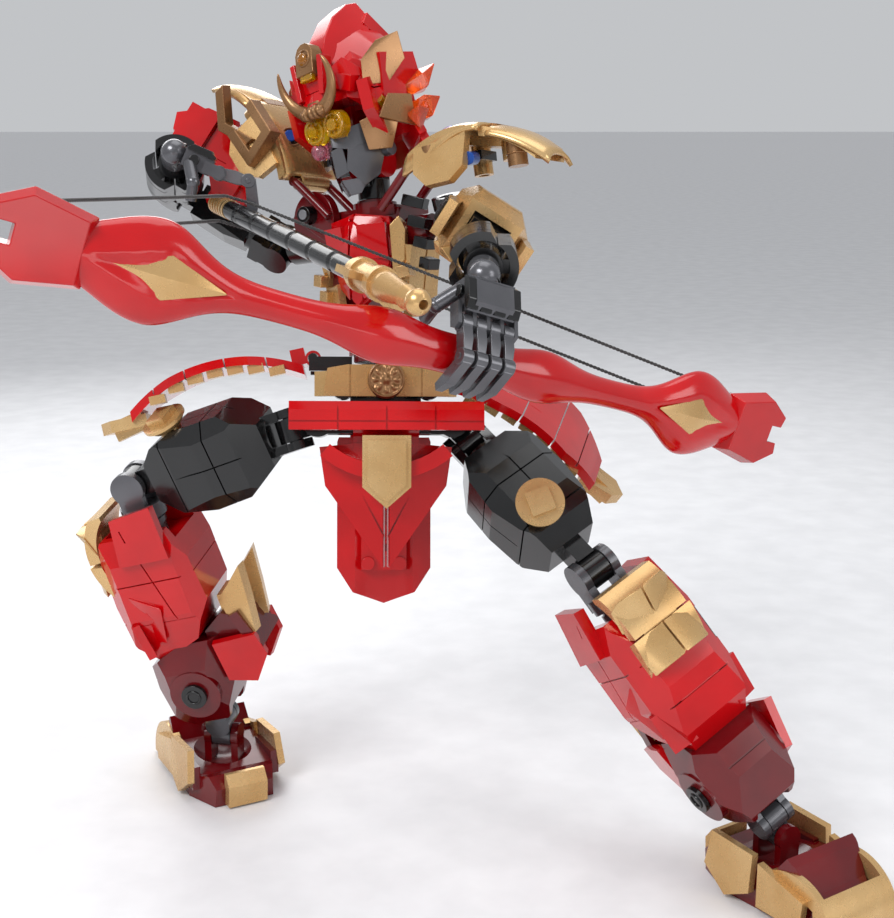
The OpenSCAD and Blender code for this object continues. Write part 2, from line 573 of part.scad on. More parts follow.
module arm_guard_form(s) if (s > 0) color(gold) multmatrix(m_upper(s)) {
    difference() {
        union() {
            translate([0, 0, -21]) faceted([[-12, 10], [12, 10], [13, 0], [9, -10], [-9, -10], [-13, 0]],
                [[-11, 10], [11, 10], [12, 0], [9, -11], [-9, -11], [-12, 0]], 27);
            for (x = [-1, 1]) translate([x * 11.6, 0, -22]) rotate([0, x * -10, 0]) block([3, 12, 24]);
        }
        translate([0, 0, -21]) cube([13, 13, 50], center = true);
        for (x = [-1, 1]) block([3, 2, 16], [x * 13, 0, -24]);
        for (y = [-1, 1]) block([40, 2, seam], [0, y * 12, -22]);
    }
} else multmatrix(m_upper(s)) {
    // broad sleeve panel with a stepped gold rim, carried on the forward side
    color(red) {
        difference() {
            translate([-15, -10.6, -36]) front([[-15, 2], [-14, -10], [-7, -19], [-1, -17], [3, -1], [13, 7], [13, 10], [-6, 9]], shell_t);
            for (x = [-26, -14]) block([seam, 1, 60], [x, -12, -36]);
            block([60, 1, seam], [-16, -12, -40]);
        }
        block([11, 7, 13], [-5.4, -7, -24]);
        block([15, 2.4, 11], [-20, -13, -46]);
    }
    color(gold) for (i = [0:3]) block([6.6, 4.6, 5], [-26 + i * 6.4, -10.6, -30.4 + i * 1.4 + (i % 2) * 1.6]);
}
module forearm(s) color(black) multmatrix(m_fore(s)) {
    for (x = [-1, 1]) {
        translate([x * (small_w / 2 + gap + 1.3), 0, 0]) rodx(small_d, 2.6);
        block([2.6, 8, 10], [x * (small_w / 2 + gap + 1.3), 0, -4.6]);
    }
    rodx(pin_d - 0.6, small_w + 2 * gap + 2);
    difference() {
        union() {
            translate([0, 0, -11]) rodz(14, 7);
            translate([0, 0, -22]) rodz(11, 22);
            // three curved guard panels around the sleeve
            for (a = [0, 120, 240]) rotate([0, 0, a]) intersection() {
                translate([0, 0, -23]) difference() { rodz(20, 20); rodz(15, 22); }
                translate([0, -10, -23]) cube([13, 12, 20], center = true);
            }
            for (a = [0, 120, 240]) rotate([0, 0, a]) block([4, 4, 16], [0, -6, -22]);
        }
        for (z = [-17, -29]) translate([0, 0, z]) difference() { rodz(24, seam); rodz(18.6, 1); }
    }
    translate([0, 0, -fore_len + 10]) rodz(7.6, 3.6);
    translate([0, 0, -fore_len + 5]) rodz(pin_d, 11);
}
finger_x = [-6.6, -2.2, 2.2, 6.6];
module hand(s) color(steel) {
    multmatrix(m_wrist(s)) difference() {
        union() {
            translate([0, 0, 2.4]) rodz(9, 7.6);
            translate([0, 0, -1.2]) sphere(d = 8.6, $fn = 24);
        }
        translate([0, 0, 3.4]) rodz(bore_d, 9);
    }
    multmatrix(m_hand(s)) {
        translate([0, 0.6, -8.4]) side([[-3, 5], [3.4, 5], [3.8, -3.6], [2.2, -5], [-3, -4.4]], 15);
        translate([0, 4.4, -8]) side([[-0.6, 4.4], [1, 3], [1.2, -3.6], [-0.6, -5]], 12);
        for (x = [-9, -4.4, 0, 4.4, 9]) translate([x, 0, -palm_len + 2]) side([[-2, 3.4], [2, 3.4], [2, -3], [0, -4], [-2, -3]], 1.2);
        translate([0, 0, -palm_len]) rodx(2.4, 18);
        // thumb
        strut([7, -1, -6], [11.6, -6, -9.6], 4.2);
        strut([11.6, -6, -9.6], [11.2, -12, -11.2], 3.6);
        translate([11.6, -6, -9.6]) sphere(d = 4.4, $fn = 20);
    }
}
module fingers(s) color(steel) multmatrix(m_finger(s)) for (x = finger_x) translate([x, 0, 0]) difference() {
    union() {
        rodx(4.6, 3);
        side([[-1.9, 0], [1.9, 0], [2.2, -7], [1.4, -10.6], [-1.4, -10.6], [-1.2, -6]], 3);
        translate([0, 0.2, -9.6]) rodx(4.4, 3.4);
        side([[1.9, -8.6], [1.6, -11.6], [-7, -14.8], [-12.6, -15], [-12.6, -12.6], [-7, -11.6]], 2.8);
    }
    rodx(2.4 + 2 * gap, 4);
}

// ---- bow and arrow ----
// Stations along a limb: distance, width, depth. Width and depth ease between stations.
limb = [[0, 11, 10], [12, 11, 11], [26, 15, 12], [44, 9, 9], [60, 8, 8], [74, 18, 11], [86, bulge_w, 14],
        [97, 21, 12], [106, 15, 9]];
function ease(t) = t * t * (3 - 2 * t);
function seg(z, i = 0) = i >= len(limb) - 2 || z <= limb[i + 1][0] ? i : seg(z, i + 1);
function at_limb(z, k) = let(i = seg(z), a = limb[i], b = limb[i + 1]) a[k] + (b[k] - a[k]) * ease((z - a[0]) / (b[0] - a[0]));
function back(z) = limb_back * pow(z / 128, 1.6);
reach = limb_len / 128;
module slice(z) translate([0, back(z), z * reach]) scale([at_limb(z, 1), at_limb(z, 2), 1]) cylinder(d = 1, h = 0.1, $fn = 20);
module half_bow() {
    for (i = [0:25]) hull() { slice(i * 4); slice(i * 4 + 4); }
    // faceted end box with a notch for the cord
    translate([0, back(112), 114 * reach]) rotate([-9, 0, 0]) difference() {
        front([[-9, -12], [9, -12], [12, 4], [7, 13], [3, 12], [3, 7], [-3, 7], [-3, 12], [-7, 13], [-12, 4]], 10);
        for (s = [-1, 1]) translate([s * 13, 0, 0]) rotate([0, 0, s * 28]) block([8, 24, 40]);
    }
}
module bow_form() color(red) multmatrix(m_bow) { half_bow(); mirror([0, 0, 1]) half_bow(); }
module bow_gems() color(gold) multmatrix(m_bow) for (k = [0, 1]) mirror([0, 0, k])
    translate([0, back(86), 85 * reach]) rotate([-8, 0, 0]) front([[0, 17], [4.6, 0], [0, -17], [-4.6, 0]], 14.6);
nock_y = arrow_len - 22;
module bow_string() color(black) multmatrix(m_bow) for (x = [-1, 1], k = [-1, 1]) {
    strut([x * 4 + 3, back(118) + 6.4, k * 118 * reach], [nock_at[0] + x * 4.2, nock_y - 18, nock_at[2] + k * 4.6], cord_d, 12);
    strut([x * 4 + 3, back(118) + 6.4, k * 118 * reach], [x * 2, back(118), k * 118 * reach], cord_d * 1.6, 12);
}
module arrow_shaft() color(black) multmatrix(m_arrow) {
    translate([0, (nock_y + 4.5) / 2, 0]) rody(shaft_d, nock_y - 35.5);
    for (y = [28:8:nock_y - 26]) translate([0, y, 0]) rody(shaft_d + 1, 3);
}
module arrow_head() color(gold) multmatrix(m_arrow) {
    translate([0, 10, 0]) rody(shaft_d + 2.4, 20);
    for (y = [4, 16]) translate([0, y, 0]) rody(shaft_d + 4, 2.4);
    for (z = [-1, 1]) block([2, 9, 4], [0, 12, z * 6]);
    translate([0, 0, 0]) rotate([90, 0, 0]) cylinder(d1 = shaft_d + 2.4, d2 = 5, h = 12);
    translate([0, -12, 0]) rotate([90, 0, 0]) cylinder(d1 = 6.6, d2 = 5, h = 4);
    difference() {
        translate([0, -18, 0]) sphere(d = 7, $fn = 28);
        translate([0, -20, 0]) rody(2.6, 6);
    }
    // ribbed nock
    translate([0, nock_y - 7, 0]) rody(5.2, 17);
    for (i = [0:5]) translate([0, nock_y - 13.6 + i * 2.6, 0]) rody(6.6, 1.3);
}

// ---- legs ----
module hip_hub(s) color(black) multmatrix(m_hip(s)) difference() {
    union() {
        rody(disc_d, tongue_w);
        block([tongue_w - 1, tongue_w - 0.6, hub_drop], [0, 0, -hub_drop / 2]);
        translate([0, 0, -hub_drop]) rodx(disc_d, tongue_w);
    }
    rody(bore_d, tongue_w + 1);
    translate([0, 0, -hub_drop]) rodx(bore_d, tongue_w + 1);
}
tw = thigh_w / 2;
module thigh(s) color(black) {
    multmatrix(m_swing(s)) {
        fork_x(disc_d, tongue_w);
        for (x = [-1, 1]) block([cheek_t, 10, 8], [x * (tongue_w / 2 + gap + cheek_t / 2), 0, -5]);
        translate([0, 0, -8.4]) rodz(15, 3.4);
    }
    multmatrix(m_thigh(s)) difference() {
        union() {
            faceted([[-9, -8], [9, -8], [tw - 1, -17], [tw, -30], [tw - 2, -42], [9, -53], [-9, -53],
                     [2 - tw, -42], [-tw, -30], [1 - tw, -17]],
                    [[-8, -8], [8, -8], [tw, -20], [tw + 1, -34], [tw - 3, -45], [7, -53], [-7, -53],
                     [3 - tw, -47], [-tw, -38], [-tw, -20]], thigh_w * 1.16);
            block([tongue_w - 1, 9, thigh_len - 54], [0, 0, -thigh_len / 2 - 23]);
            translate([0, 0, -thigh_len]) rodx(disc_d, tongue_w);
        }
        translate([0, 0, -thigh_len]) rodx(bore_d, tongue_w + 1);
        translate([0, 0, -26]) difference() { cube([60, 60, seam], center = true); rodz(26, 2); }
        translate([0, 0, -43]) difference() { cube([60, 60, seam], center = true); rodz(20, 2); }
        for (a = [0, 90]) rotate([0, 0, a]) difference() {
            translate([0, 0, -30]) cube([seam, 60, 34], center = true);
            translate([0, 0, -30]) rodz(27, 40);
        }
        // seat of the dish
        dish_pose(s) translate([0, 20, 0]) rody(dish_d * 0.6, 40 - 2 * 5.4);
    }
}
module dish_pose(s) rotate([0, 0, -s * 14]) translate([0, -tw, -40]) rotate([pick(s, 4, 12), 0, 0]) children();
module thigh_disc_form(s) color(gold) multmatrix(m_thigh(s)) dish_pose(s) {
    translate([0, 1, 0]) rody(dish_d * 0.5, 7);
    translate([0, -2.6, 0]) rotate([90, 0, 0]) cylinder(d1 = dish_d * 0.7, d2 = dish_d, h = 2.2, center = true);
    translate([0, -4.2, 0]) rody(dish_d, 1.2);
    rotate([0, 20, 0]) block([8, 3, 8], [0, -5.6, 0]);
}
module knee_joint(s) color(steel) multmatrix(m_shin(s)) {
    fork_x(disc_d + 1, tongue_w);
    for (x = [-1, 1]) block([cheek_t, 9, 11], [x * (tongue_w / 2 + gap + cheek_t / 2), 0, -6]);
    translate([0, 0, -10.4]) rodz(16, 5);
    translate([0, 0, -20]) rodz(12, 16);
    translate([0, 0, -15]) rodz(13.4, 2);
    block([10, 10, 64], [0, 0, -58]);
    for (x = [-1, 1]) translate([x * (small_w / 2 + gap + 1.3), 0, -shin_len]) {
        rodx(small_d - 0.4, 2.6);
        block([2.6, 8, 10], [0, 0, 5]);
    }
    translate([0, 0, -shin_len]) rodx(pin_d - 0.6, small_w + 2 * gap + 2);
}
sw = shin_w / 2;
module shin_form(s) color(red) multmatrix(m_shin(s)) {
    difference() {
        union() {
            faceted([[3 - sw, -15], [sw - 3, -15], [sw, -24], [sw, -46], [sw - 4, -58], [sw - 6, -66],
                     [6 - sw, -66], [4 - sw, -58], [-sw, -46], [-sw, -24]],
                    [[-14, -15], [11, -15], [sw - 1, -26], [sw, -44], [9, -58], [-8, -66], [-15, -58], [-19, -42], [-18, -24]],
                    shin_w * 1.2);
            for (x = [-1, 1]) translate([x * (sw - 1.4), 3, -14]) rotate([0, x * -8, 0])
                side([[-9, 7], [7, 9], [9, -10], [-10, -10]], 4);
        }
        // hollow for the knee and the inner column
        translate([0, 0, -8]) cube([20.5, 26, 24], center = true);
        translate([0, 0, -40]) cube([10, 10, 80], center = true);
        for (z = [-32, -48]) translate([0, 0, z]) difference() { cube([80, 80, seam], center = true); cube([shin_w - 2, shin_w - 2, 2], center = true); }
        for (x = [-1, 1]) translate([x * sw, 4, -40]) rotate([14, 0, 0]) cube([1.6, seam, 60], center = true);
        // slot with two pins on the outer flank
        translate([s * sw, -8, -34]) cube([5, 9, 12], center = true);
    }
    for (y = [-10, -6]) translate([s * (sw - 2.4), y, -34]) rodz(2, 12);
    for (x = [-1, 1]) translate([x * (sw - 3.6), -11, -54]) rotate([8, 0, x * 22]) block([9, 3, 14]);
}
module knee_plate(s) color(gold) multmatrix(m_shin(s)) {
    intersection() {
        translate([0, 2, -22]) rotate([0, 90, 0]) difference() { cylinder(r = 24, h = 25, center = true); cylinder(r = 19.6, h = 30, center = true); }
        union() {
            translate([0, -20, -15.4]) rotate([6, 0, 0]) cube([22, 18, 16], center = true);
            translate([0, -20, -33]) rotate([-6, 0, 0]) cube([24, 18, 17], center = true);
        }
    }
    block([14, 5, 22], [0, -18.4, -25]);
    for (x = [-1, 1]) translate([x * 6.4, 24, -50]) rotate([8, 0, x * -10])
        side([[-4, -9], [4, -12], [7, 0], [10, 14], [2, 8], [-4, 4]], 4.6);
    block([12, 5, 8], [0, 20.5, -50]);
    translate([s * (sw - 4), 6, -44]) {
        block([9.4, 9, 16]);
        for (z = [-3, 3]) block([10.2, 6, 1.4], [0, 0, z]);
    }
}
module calf_form(s) color(maroon) multmatrix(m_shin(s)) {
    difference() {
        union() {
            faceted([[-12, -60], [12, -60], [15.4, -70], [15.4, -82], [8.6, -94], [-8.6, -94], [-15.4, -82], [-15.4, -70]],
                    [[-9, -64], [14, -54], [17, -64], [15, -78], [8, -93], [4, -96], [-5, -96], [-10, -92],
                     [-16, -78], [-15, -68]], 33);
            for (x = [-1, 1]) translate([x * 13.6, 1, -79]) rotate([0, x * 3, 0]) rodx(19, 4);
            // spur block behind the calf
            side([[10, -58], [18, -52], [27, -56], [29, -66], [23, -76], [12, -80]], 17);
            translate([0, 26, -60]) rotate([20, 0, 0]) block([21, 4, 16]);
        }
        translate([0, 0, -60]) cube([10, 10, 70], center = true);
        translate([0, 0, -shin_len + 2]) cube([14, 19, 22], center = true);
        block([40, 1, seam], [0, -15.6, -74]);
        for (x = [-1, 1]) translate([x * 16.4, 1, -79]) rodx(9, 2.4);
    }
    for (x = [-1, 1]) translate([x * 15.2, 1, -79]) rodx(7, 4);
}
// bright pentagon plates beside the ankle, part of the red armour
module ankle_plates(s) color(red) multmatrix(m_shin(s)) for (x = [-1, 1])
    translate([x * 10.4, 21, -70]) rotate([0, x * 6, x * 8]) {
        side([[-8, 9], [8, 9], [10, 0], [3, -10], [-7, -7]], 3);
        block([4, 6, 6], [x * -2, 0, 0]);
    }
module flank_plates(s) color(red) multmatrix(m_shin(s)) translate([s * 17.8, 0, -76]) rotate([0, s * 12, 0]) {
    side([[-9, 10], [7, 10], [10, 0], [2, -11], [-8, -7]], 3);
    block([6, 6, 7], [s * -3, 0, 2]);
}
module ankle_cross(s) color(steel) multmatrix(m_ankle(s)) difference() {
    union() {
        rodx(small_d - 0.6, small_w);
        block([small_w - 0.6, small_w - 0.6, cross_drop], [0, 0, -cross_drop / 2]);
        translate([0, 0, -cross_drop]) rody(small_d - 1, small_w);
    }
    rodx(pin_d - 0.6 + 2 * gap, small_w + 1);
    translate([0, 0, -cross_drop]) rody(pin_d - 0.6 + 2 * gap, small_w + 1);
}
fz = -sole_drop;
module foot(s) color(maroon) multmatrix(m_foot(s)) {
    rotate([0, 0, -s * pick(s, toe_turn[0], toe_turn[1])]) {
        for (y = [-1, 1]) translate([0, y * (small_w / 2 + gap + 1.3), 0]) {
            rody(small_d - 0.6, 2.6);
            block([8, 2.6, 12], [0, 0, -6]);
        }
        rody(pin_d - 0.6, small_w + 2 * gap + 2);
    }
    difference() {
        intersection() {
            side([[-31, fz], [20, fz], [21, fz + 7], [17, -8], [12, -9], [-12.4, -5], [-18.4, 3],
                  [-21.4, 1], [-27, fz + 12], [-31.6, fz + 8], [-32, fz + 3]], 60);
            plan([[-10, -32], [10, -32], [15, -20], [16.6, 6], [11, 21], [-11, 21], [-16.6, 6], [-15, -20]]);
        }
        translate([0, 0, cross_drop]) sphere(r = 17.6);
        for (y = [-23, 12]) block([40, seam, 2], [0, y, fz + 12]);
    }
    for (x = [-1, 1]) block([3, 16, 9], [x * 15.4, 4, fz + 9]);
}
module toe_form(s) color(gold) multmatrix(m_foot(s)) {
    intersection() {
        difference() {
            translate([0, -21, fz + 1]) rotate([0, 90, 0]) cylinder(r = 17, h = 31, center = true);
            block([26, 28, 40], [0, -18, -6]);
        }
        side([[-40, fz + 0.6], [-31, fz + 0.6], [-30, fz + 9.6], [-16, -4], [-9, -3], [-14, 4], [-40, 4]], 60);
    }
    for (x = [-1, 1]) {
        translate([x * 17.7, 3, fz + 11]) rotate([0, x * -5, 0])
            side([[-10, 8], [8, 9], [10, -3], [0, -10], [-10, -5]], 2.6);
        translate([x * 16.6, -17, fz + 9]) side([[-11, 3], [8, 8], [8, -7], [-10, -7]], 2.6);
    }
    translate([0, 21.6, fz + 6.6]) side([[-1.6, -6], [2.4, -6], [3, 2], [0, 6], [-1.6, 6]], 15);
}

// ---- pieces seated on their neighbours in the same body ----
module arm_guard(s) difference() { arm_guard_form(s); upper_arm(s); }
module thigh_disc(s) difference() { thigh_disc_form(s); thigh(s); }
module side_skirt_trim(s) difference() { side_trim_form(s); side_skirt(s); }
module shin_guard(s) difference() { union() { shin_form(s); ankle_plates(s); flank_plates(s); } knee_plate(s); knee_joint(s); }
module calf(s) difference() { calf_form(s); shin_guard(s); knee_joint(s); knee_plate(s); }
module toe_armor(s) difference() { toe_form(s); foot(s); }
module belt() difference() { belt_form(); hip_block(); }
module bow_limbs() difference() { bow_form(); bow_gems(); bow_string(); }
module rib_plates() difference() { rib_form(); torso_core(); }
module chest_plate() difference() { chest_form(); torso_core(); rib_form(); }
module face_mask() difference() { mask_form(); helmet(); }
module horns() difference() { horns_form(); helmet(); }
module lamps() difference() { lamps_form(); helmet(); mask_form(); horns_form(); }
module front_badge() difference() { badge_form(); front_skirt(); }

hip_block();
belt();
front_beam();
front_skirt();
front_badge();
rear_skirt();
side_skirt(-1);  // side_skirt_r
side_skirt(1);  // side_skirt_l
side_skirt_trim(-1);  // side_skirt_trim_r
side_skirt_trim(1);  // side_skirt_trim_l
abdomen();
torso_core();
chest_plate();
rib_plates();
neck_post();
helmet();
horns();
face_mask();
lamps();
shoulder_hub(-1);  // shoulder_hub_r
shoulder_hub(1);  // shoulder_hub_l
shoulder_guard(-1);  // shoulder_guard_r
shoulder_guard(1);  // shoulder_guard_l
upper_arm(-1);  // upper_arm_r
upper_arm(1);  // upper_arm_l
arm_guard(-1);  // arm_guard_r
arm_guard(1);  // arm_guard_l
forearm(-1);  // forearm_r
forearm(1);  // forearm_l
hand(-1);  // hand_r
hand(1);  // hand_l
fingers(-1);  // fingers_r
fingers(1);  // fingers_l
bow_limbs();
bow_gems();
bow_string();
arrow_shaft();
arrow_head();
hip_hub(-1);  // hip_hub_r
hip_hub(1);  // hip_hub_l
thigh(-1);  // thigh_r
thigh(1);  // thigh_l
thigh_disc(-1);  // thigh_disc_r
thigh_disc(1);  // thigh_disc_l
knee_joint(-1);  // knee_joint_r
knee_joint(1);  // knee_joint_l
shin_guard(-1);  // shin_guard_r
shin_guard(1);  // shin_guard_l
knee_plate(-1);  // knee_plate_r
knee_plate(1);  // knee_plate_l
calf(-1);  // calf_r
calf(1);  // calf_l
ankle_cross(-1);  // ankle_cross_r
ankle_cross(1);  // ankle_cross_l
foot(-1);  // foot_r
foot(1);  // foot_l
toe_armor(-1);  // toe_armor_r
toe_armor(1);  // toe_armor_l
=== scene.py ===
import json
import math

import bmesh
import bpy
from mathutils import Matrix, Vector


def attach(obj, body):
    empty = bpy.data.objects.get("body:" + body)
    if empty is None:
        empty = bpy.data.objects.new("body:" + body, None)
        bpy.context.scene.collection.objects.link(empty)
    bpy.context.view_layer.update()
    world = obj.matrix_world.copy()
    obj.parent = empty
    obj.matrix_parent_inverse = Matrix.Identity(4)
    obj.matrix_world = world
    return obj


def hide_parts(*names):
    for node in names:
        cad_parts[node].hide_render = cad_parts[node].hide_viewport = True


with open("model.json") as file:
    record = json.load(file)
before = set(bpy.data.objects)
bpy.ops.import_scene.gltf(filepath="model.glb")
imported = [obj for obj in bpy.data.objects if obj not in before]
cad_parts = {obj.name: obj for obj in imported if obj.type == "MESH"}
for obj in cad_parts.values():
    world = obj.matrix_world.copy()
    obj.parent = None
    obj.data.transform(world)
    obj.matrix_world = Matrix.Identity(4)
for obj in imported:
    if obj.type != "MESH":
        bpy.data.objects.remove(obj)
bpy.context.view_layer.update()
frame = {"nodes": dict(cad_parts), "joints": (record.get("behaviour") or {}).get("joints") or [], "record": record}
joints = {j["name"]: j for j in frame["joints"]}
nodes = frame["nodes"]
mm = 0.001
print("frame loaded", len(nodes), "nodes")


def aimedAt(place, target):
    return (Vector(target) - Vector(place)).to_track_quat("-Z", "Y").to_euler()


camera = bpy.data.objects.new("camera", bpy.data.cameras.new("camera"))
camera.data.lens = 56.9
camera.data.clip_start = 0.01
camera.location = (-0.0117, -0.4453, 0.2477)
camera.rotation_euler = (math.radians(76.6), 0, math.radians(-0.65))
bpy.context.collection.objects.link(camera)
bpy.context.scene.camera = camera


def softLight(name, place, size, power, tint=(1, 1, 1)):
    lamp = bpy.data.lights.new(name, "AREA")
    lamp.shape = "RECTANGLE"
    lamp.size, lamp.size_y = size
    lamp.energy = power
    lamp.color = tint
    holder = bpy.data.objects.new(name, lamp)
    holder.location = place
    holder.rotation_euler = aimedAt(place, (0, 0, 0.13))
    bpy.context.collection.objects.link(holder)


softLight("keySoftbox", (-0.55, -0.6, 0.85), (0.5, 0.35), 7.4)
softLight("fillSoftbox", (0.75, -0.45, 0.45), (0.4, 0.5), 2.2)
softLight("topSoftbox", (0.05, 0.15, 1.0), (0.7, 0.7), 3)
softLight("backSoftbox", (-0.3, 0.75, 0.55), (0.7, 0.4), 3)
softLight("lowSoftbox", (0.0, -0.8, 0.12), (0.9, 0.12), 0.7)


# sRGB hex to the renderer's linear colour.
def linear(code):
    values = [int(code[i:i + 2], 16) / 255 for i in (0, 2, 4)]
    return [v / 12.92 if v <= 0.04045 else ((v + 0.055) / 1.055) ** 2.4 for v in values] + [1]


# One shader node with its settings and its incoming links.
def put(tree, kind, settings=None, links=None):
    node = tree.nodes.new(kind)
    for key, value in (settings or {}).items():
        if key in node.inputs:
            node.inputs[key].default_value = value
        else:
            setattr(node, key, value)
    for key, socket in (links or {}).items():
        tree.links.new(socket, node.inputs[key])
    return node


def blank(name):
    made = bpy.data.materials.new(name)
    made.use_nodes = True
    made.node_tree.nodes.clear()
    return made, made.node_tree


# Colours from low to high between two values of the socket.
def ramp(tree, socket, low, high, start, end):
    node = put(tree, "ShaderNodeValToRGB", links={"Fac": socket})
    node.color_ramp.elements[0].position, node.color_ramp.elements[1].position = start, end
    node.color_ramp.elements[0].color, node.color_ramp.elements[1].color = low, high
    return node.outputs["Color"]


def grey(value):
    return (value, value, value, 1)


# Injection-moulded plastic: slow shade changes, a faint flow pattern and slightly uneven gloss.
def mouldedPlastic(name, deep, pale, gloss, extra=None, flake=0):
    made, tree = blank(name)
    where = put(tree, "ShaderNodeTexCoord").outputs["Object"]
    cloud = put(tree, "ShaderNodeTexNoise", {"Scale": 1 / (22 * mm), "Detail": 3}, {"Vector": where})
    shade = ramp(tree, cloud.outputs["Fac"], linear(deep), linear(pale), 0.35, 0.68)
    rub = put(tree, "ShaderNodeTexNoise", {"Scale": 1 / (4 * mm), "Detail": 6, "Roughness": 0.65},
        {"Vector": where})
    sheen = ramp(tree, rub.outputs["Fac"], grey(gloss), grey(gloss + 0.04), 0.4, 0.75)
    peel = put(tree, "ShaderNodeTexNoise", {"Scale": 1 / (1.1 * mm), "Detail": 2}, {"Vector": where})
    relief = put(tree, "ShaderNodeBump", {"Strength": 0.04, "Distance": 0.03 * mm},
        {"Height": peel.outputs["Fac"]})
    if flake:
        # real flakes are about 0.05 mm; drawn at 0.3 mm so that they show
        grain = put(tree, "ShaderNodeTexVoronoi", {"Scale": 1 / (0.3 * mm)}, {"Vector": where})
        glitter = ramp(tree, grain.outputs["Distance"], grey(1), grey(1 - flake), 0.1, 0.7)
        shade = tinted(tree, shade, glitter)
    surface = put(tree, "ShaderNodeBsdfPrincipled", {"IOR": 1.54, **(extra or {})},
                  {"Base Color": shade, "Roughness": sheen, "Normal": relief.outputs["Normal"]})
    put(tree, "ShaderNodeOutputMaterial", links={"Surface": surface.outputs["BSDF"]})
    return made


# Two colours multiplied.
def tinted(tree, first, second):
    node = put(tree, "ShaderNodeMix", {"data_type": "RGBA", "blend_type": "MULTIPLY"})
    node.inputs[0].default_value = 1.0
    tree.links.new(first, node.inputs[6])
    tree.links.new(second, node.inputs[7])
    return node.outputs[2]


# ABS from polished moulds: a bright, sharp highlight over an even deep colour.
redAbs = mouldedPlastic("bright red moulded ABS", "AE0107", "C1030A", 0.12)
# The same ABS in a darker pigment, so the highlight reads stronger than the colour.
darkRedAbs = mouldedPlastic("dark red moulded ABS", "560308", "68050B", 0.16)
# Black ABS shows almost nothing but its reflections.
blackAbs = mouldedPlastic("black moulded ABS", "0C0C0D", "141415", 0.17)
# Pearl-filled ABS: the flakes give a soft metal glow with a broad highlight.
goldAbs = mouldedPlastic("pearl gold moulded ABS", "C79E66", "D8B47E", 0.26, {"Metallic": 0.6}, flake=0.08)
# The same filler in brown: the warm glow stays, the shade sides go deep.
bronzeAbs = mouldedPlastic("pearl bronze moulded ABS", "8A6440", "A67C54", 0.27, {"Metallic": 0.6}, flake=0.1)
# Dark pearl grey, which looks like gunmetal.
steelAbs = mouldedPlastic("pearl steel-grey moulded ABS", "56565A", "6A6A6E", 0.24, {"Metallic": 0.6},
    flake=0.1)
# Light pearl grey for bores and sockets, with a pale glint.
silverAbs = mouldedPlastic("pearl silver moulded ABS", "8C8E92", "A9ABB0", 0.25, {"Metallic": 0.5},
    flake=0.08)
# Blue ABS friction pins, a small spot of strong colour.
blueAbs = mouldedPlastic("blue moulded ABS", "0E3F8C", "1450A8", 0.2)
# Clear tinted polycarbonate: light goes in and comes back coloured, with a glassy edge.
honeyPc = mouldedPlastic("clear honey polycarbonate", "B8730A", "D08C14", 0.05,
    {"Transmission Weight": 0.6, "IOR": 1.586})
amberPc = mouldedPlastic("clear amber polycarbonate", "F0B400", "FFD21A", 0.05,
    {"Transmission Weight": 0.75, "IOR": 1.586})
orangePc = mouldedPlastic("clear orange polycarbonate", "F04A10", "FF6A1E", 0.05,
    {"Transmission Weight": 0.7, "IOR": 1.586})
rosePc = mouldedPlastic("clear rose polycarbonate", "F08AA8", "F8B4C4", 0.04,
    {"Transmission Weight": 0.85, "IOR": 1.586})
# Polyester yarn: matt, with a faint fuzz along its edges.
cordYarn = mouldedPlastic("dark grey polyester yarn", "1B1A1A", "2D2B2B", 0.72, {"Sheen Weight": 0.4})
# Matt painted board, which only shows soft shadows.
floorPaint = mouldedPlastic("pale matt floor board", "DADADC", "E2E2E4", 0.55)
print("materials", len(bpy.data.materials))

floor = bpy.data.meshes.new("floor")
floor.from_pydata([(-20, -20, 0), (20, -20, 0), (20, 20, 0), (-20, 20, 0)], [], [(0, 1, 2, 3)])
floor = bpy.data.objects.new("floor", floor)
floor.location.z = -0.0002
floor.data.materials.append(floorPaint)
bpy.context.collection.objects.link(floor)
world = bpy.context.scene.world or bpy.data.worlds.new("studio")
bpy.context.scene.world = world
world.use_nodes = True
world.node_tree.nodes["Background"].inputs["Color"].default_value = (0.9, 0.92, 0.95, 1)
world.node_tree.nodes["Background"].inputs["Strength"].default_value = 0.6

# Finish of each slot of the record, for the pieces carried over from the CAD.
bpy.context.scene.view_settings.view_transform = "Standard"

finishes = {
    "red_abs": redAbs, "dark_red_abs": darkRedAbs, "pearl_gold_abs": goldAbs, "black_abs": blackAbs,
    "steel_grey_abs": steelAbs, "amber_clear": amberPc, "braided_cord": cordYarn,
}
slotOf = {s["node"]: s["material_slot"] for s in frame["record"]["subparts"]}


def spot(name):
    return Vector(joints[name]["pos_m"])


def axis(name):
    return Vector(joints[name]["axis"])


# Millimetre frame with X across and Z up.
def home(origin, across, up):
    z = up.normalized()
    x = (across - z * across.dot(z)).normalized()
    base = Matrix((x, z.cross(x), z)).transposed().to_4x4()
    base.translation = origin
    return base @ Matrix.Scale(mm, 4)


# A shift after turns in degrees about X, then Y, then Z.
def turned(at=(0, 0, 0), turn=(0, 0, 0)):
    angles = Matrix.Rotation(math.radians(turn[2]), 4, "Z") @ Matrix.Rotation(math.radians(turn[1]), 4, "Y")
    return Matrix.Translation(at) @ angles @ Matrix.Rotation(math.radians(turn[0]), 4, "X")


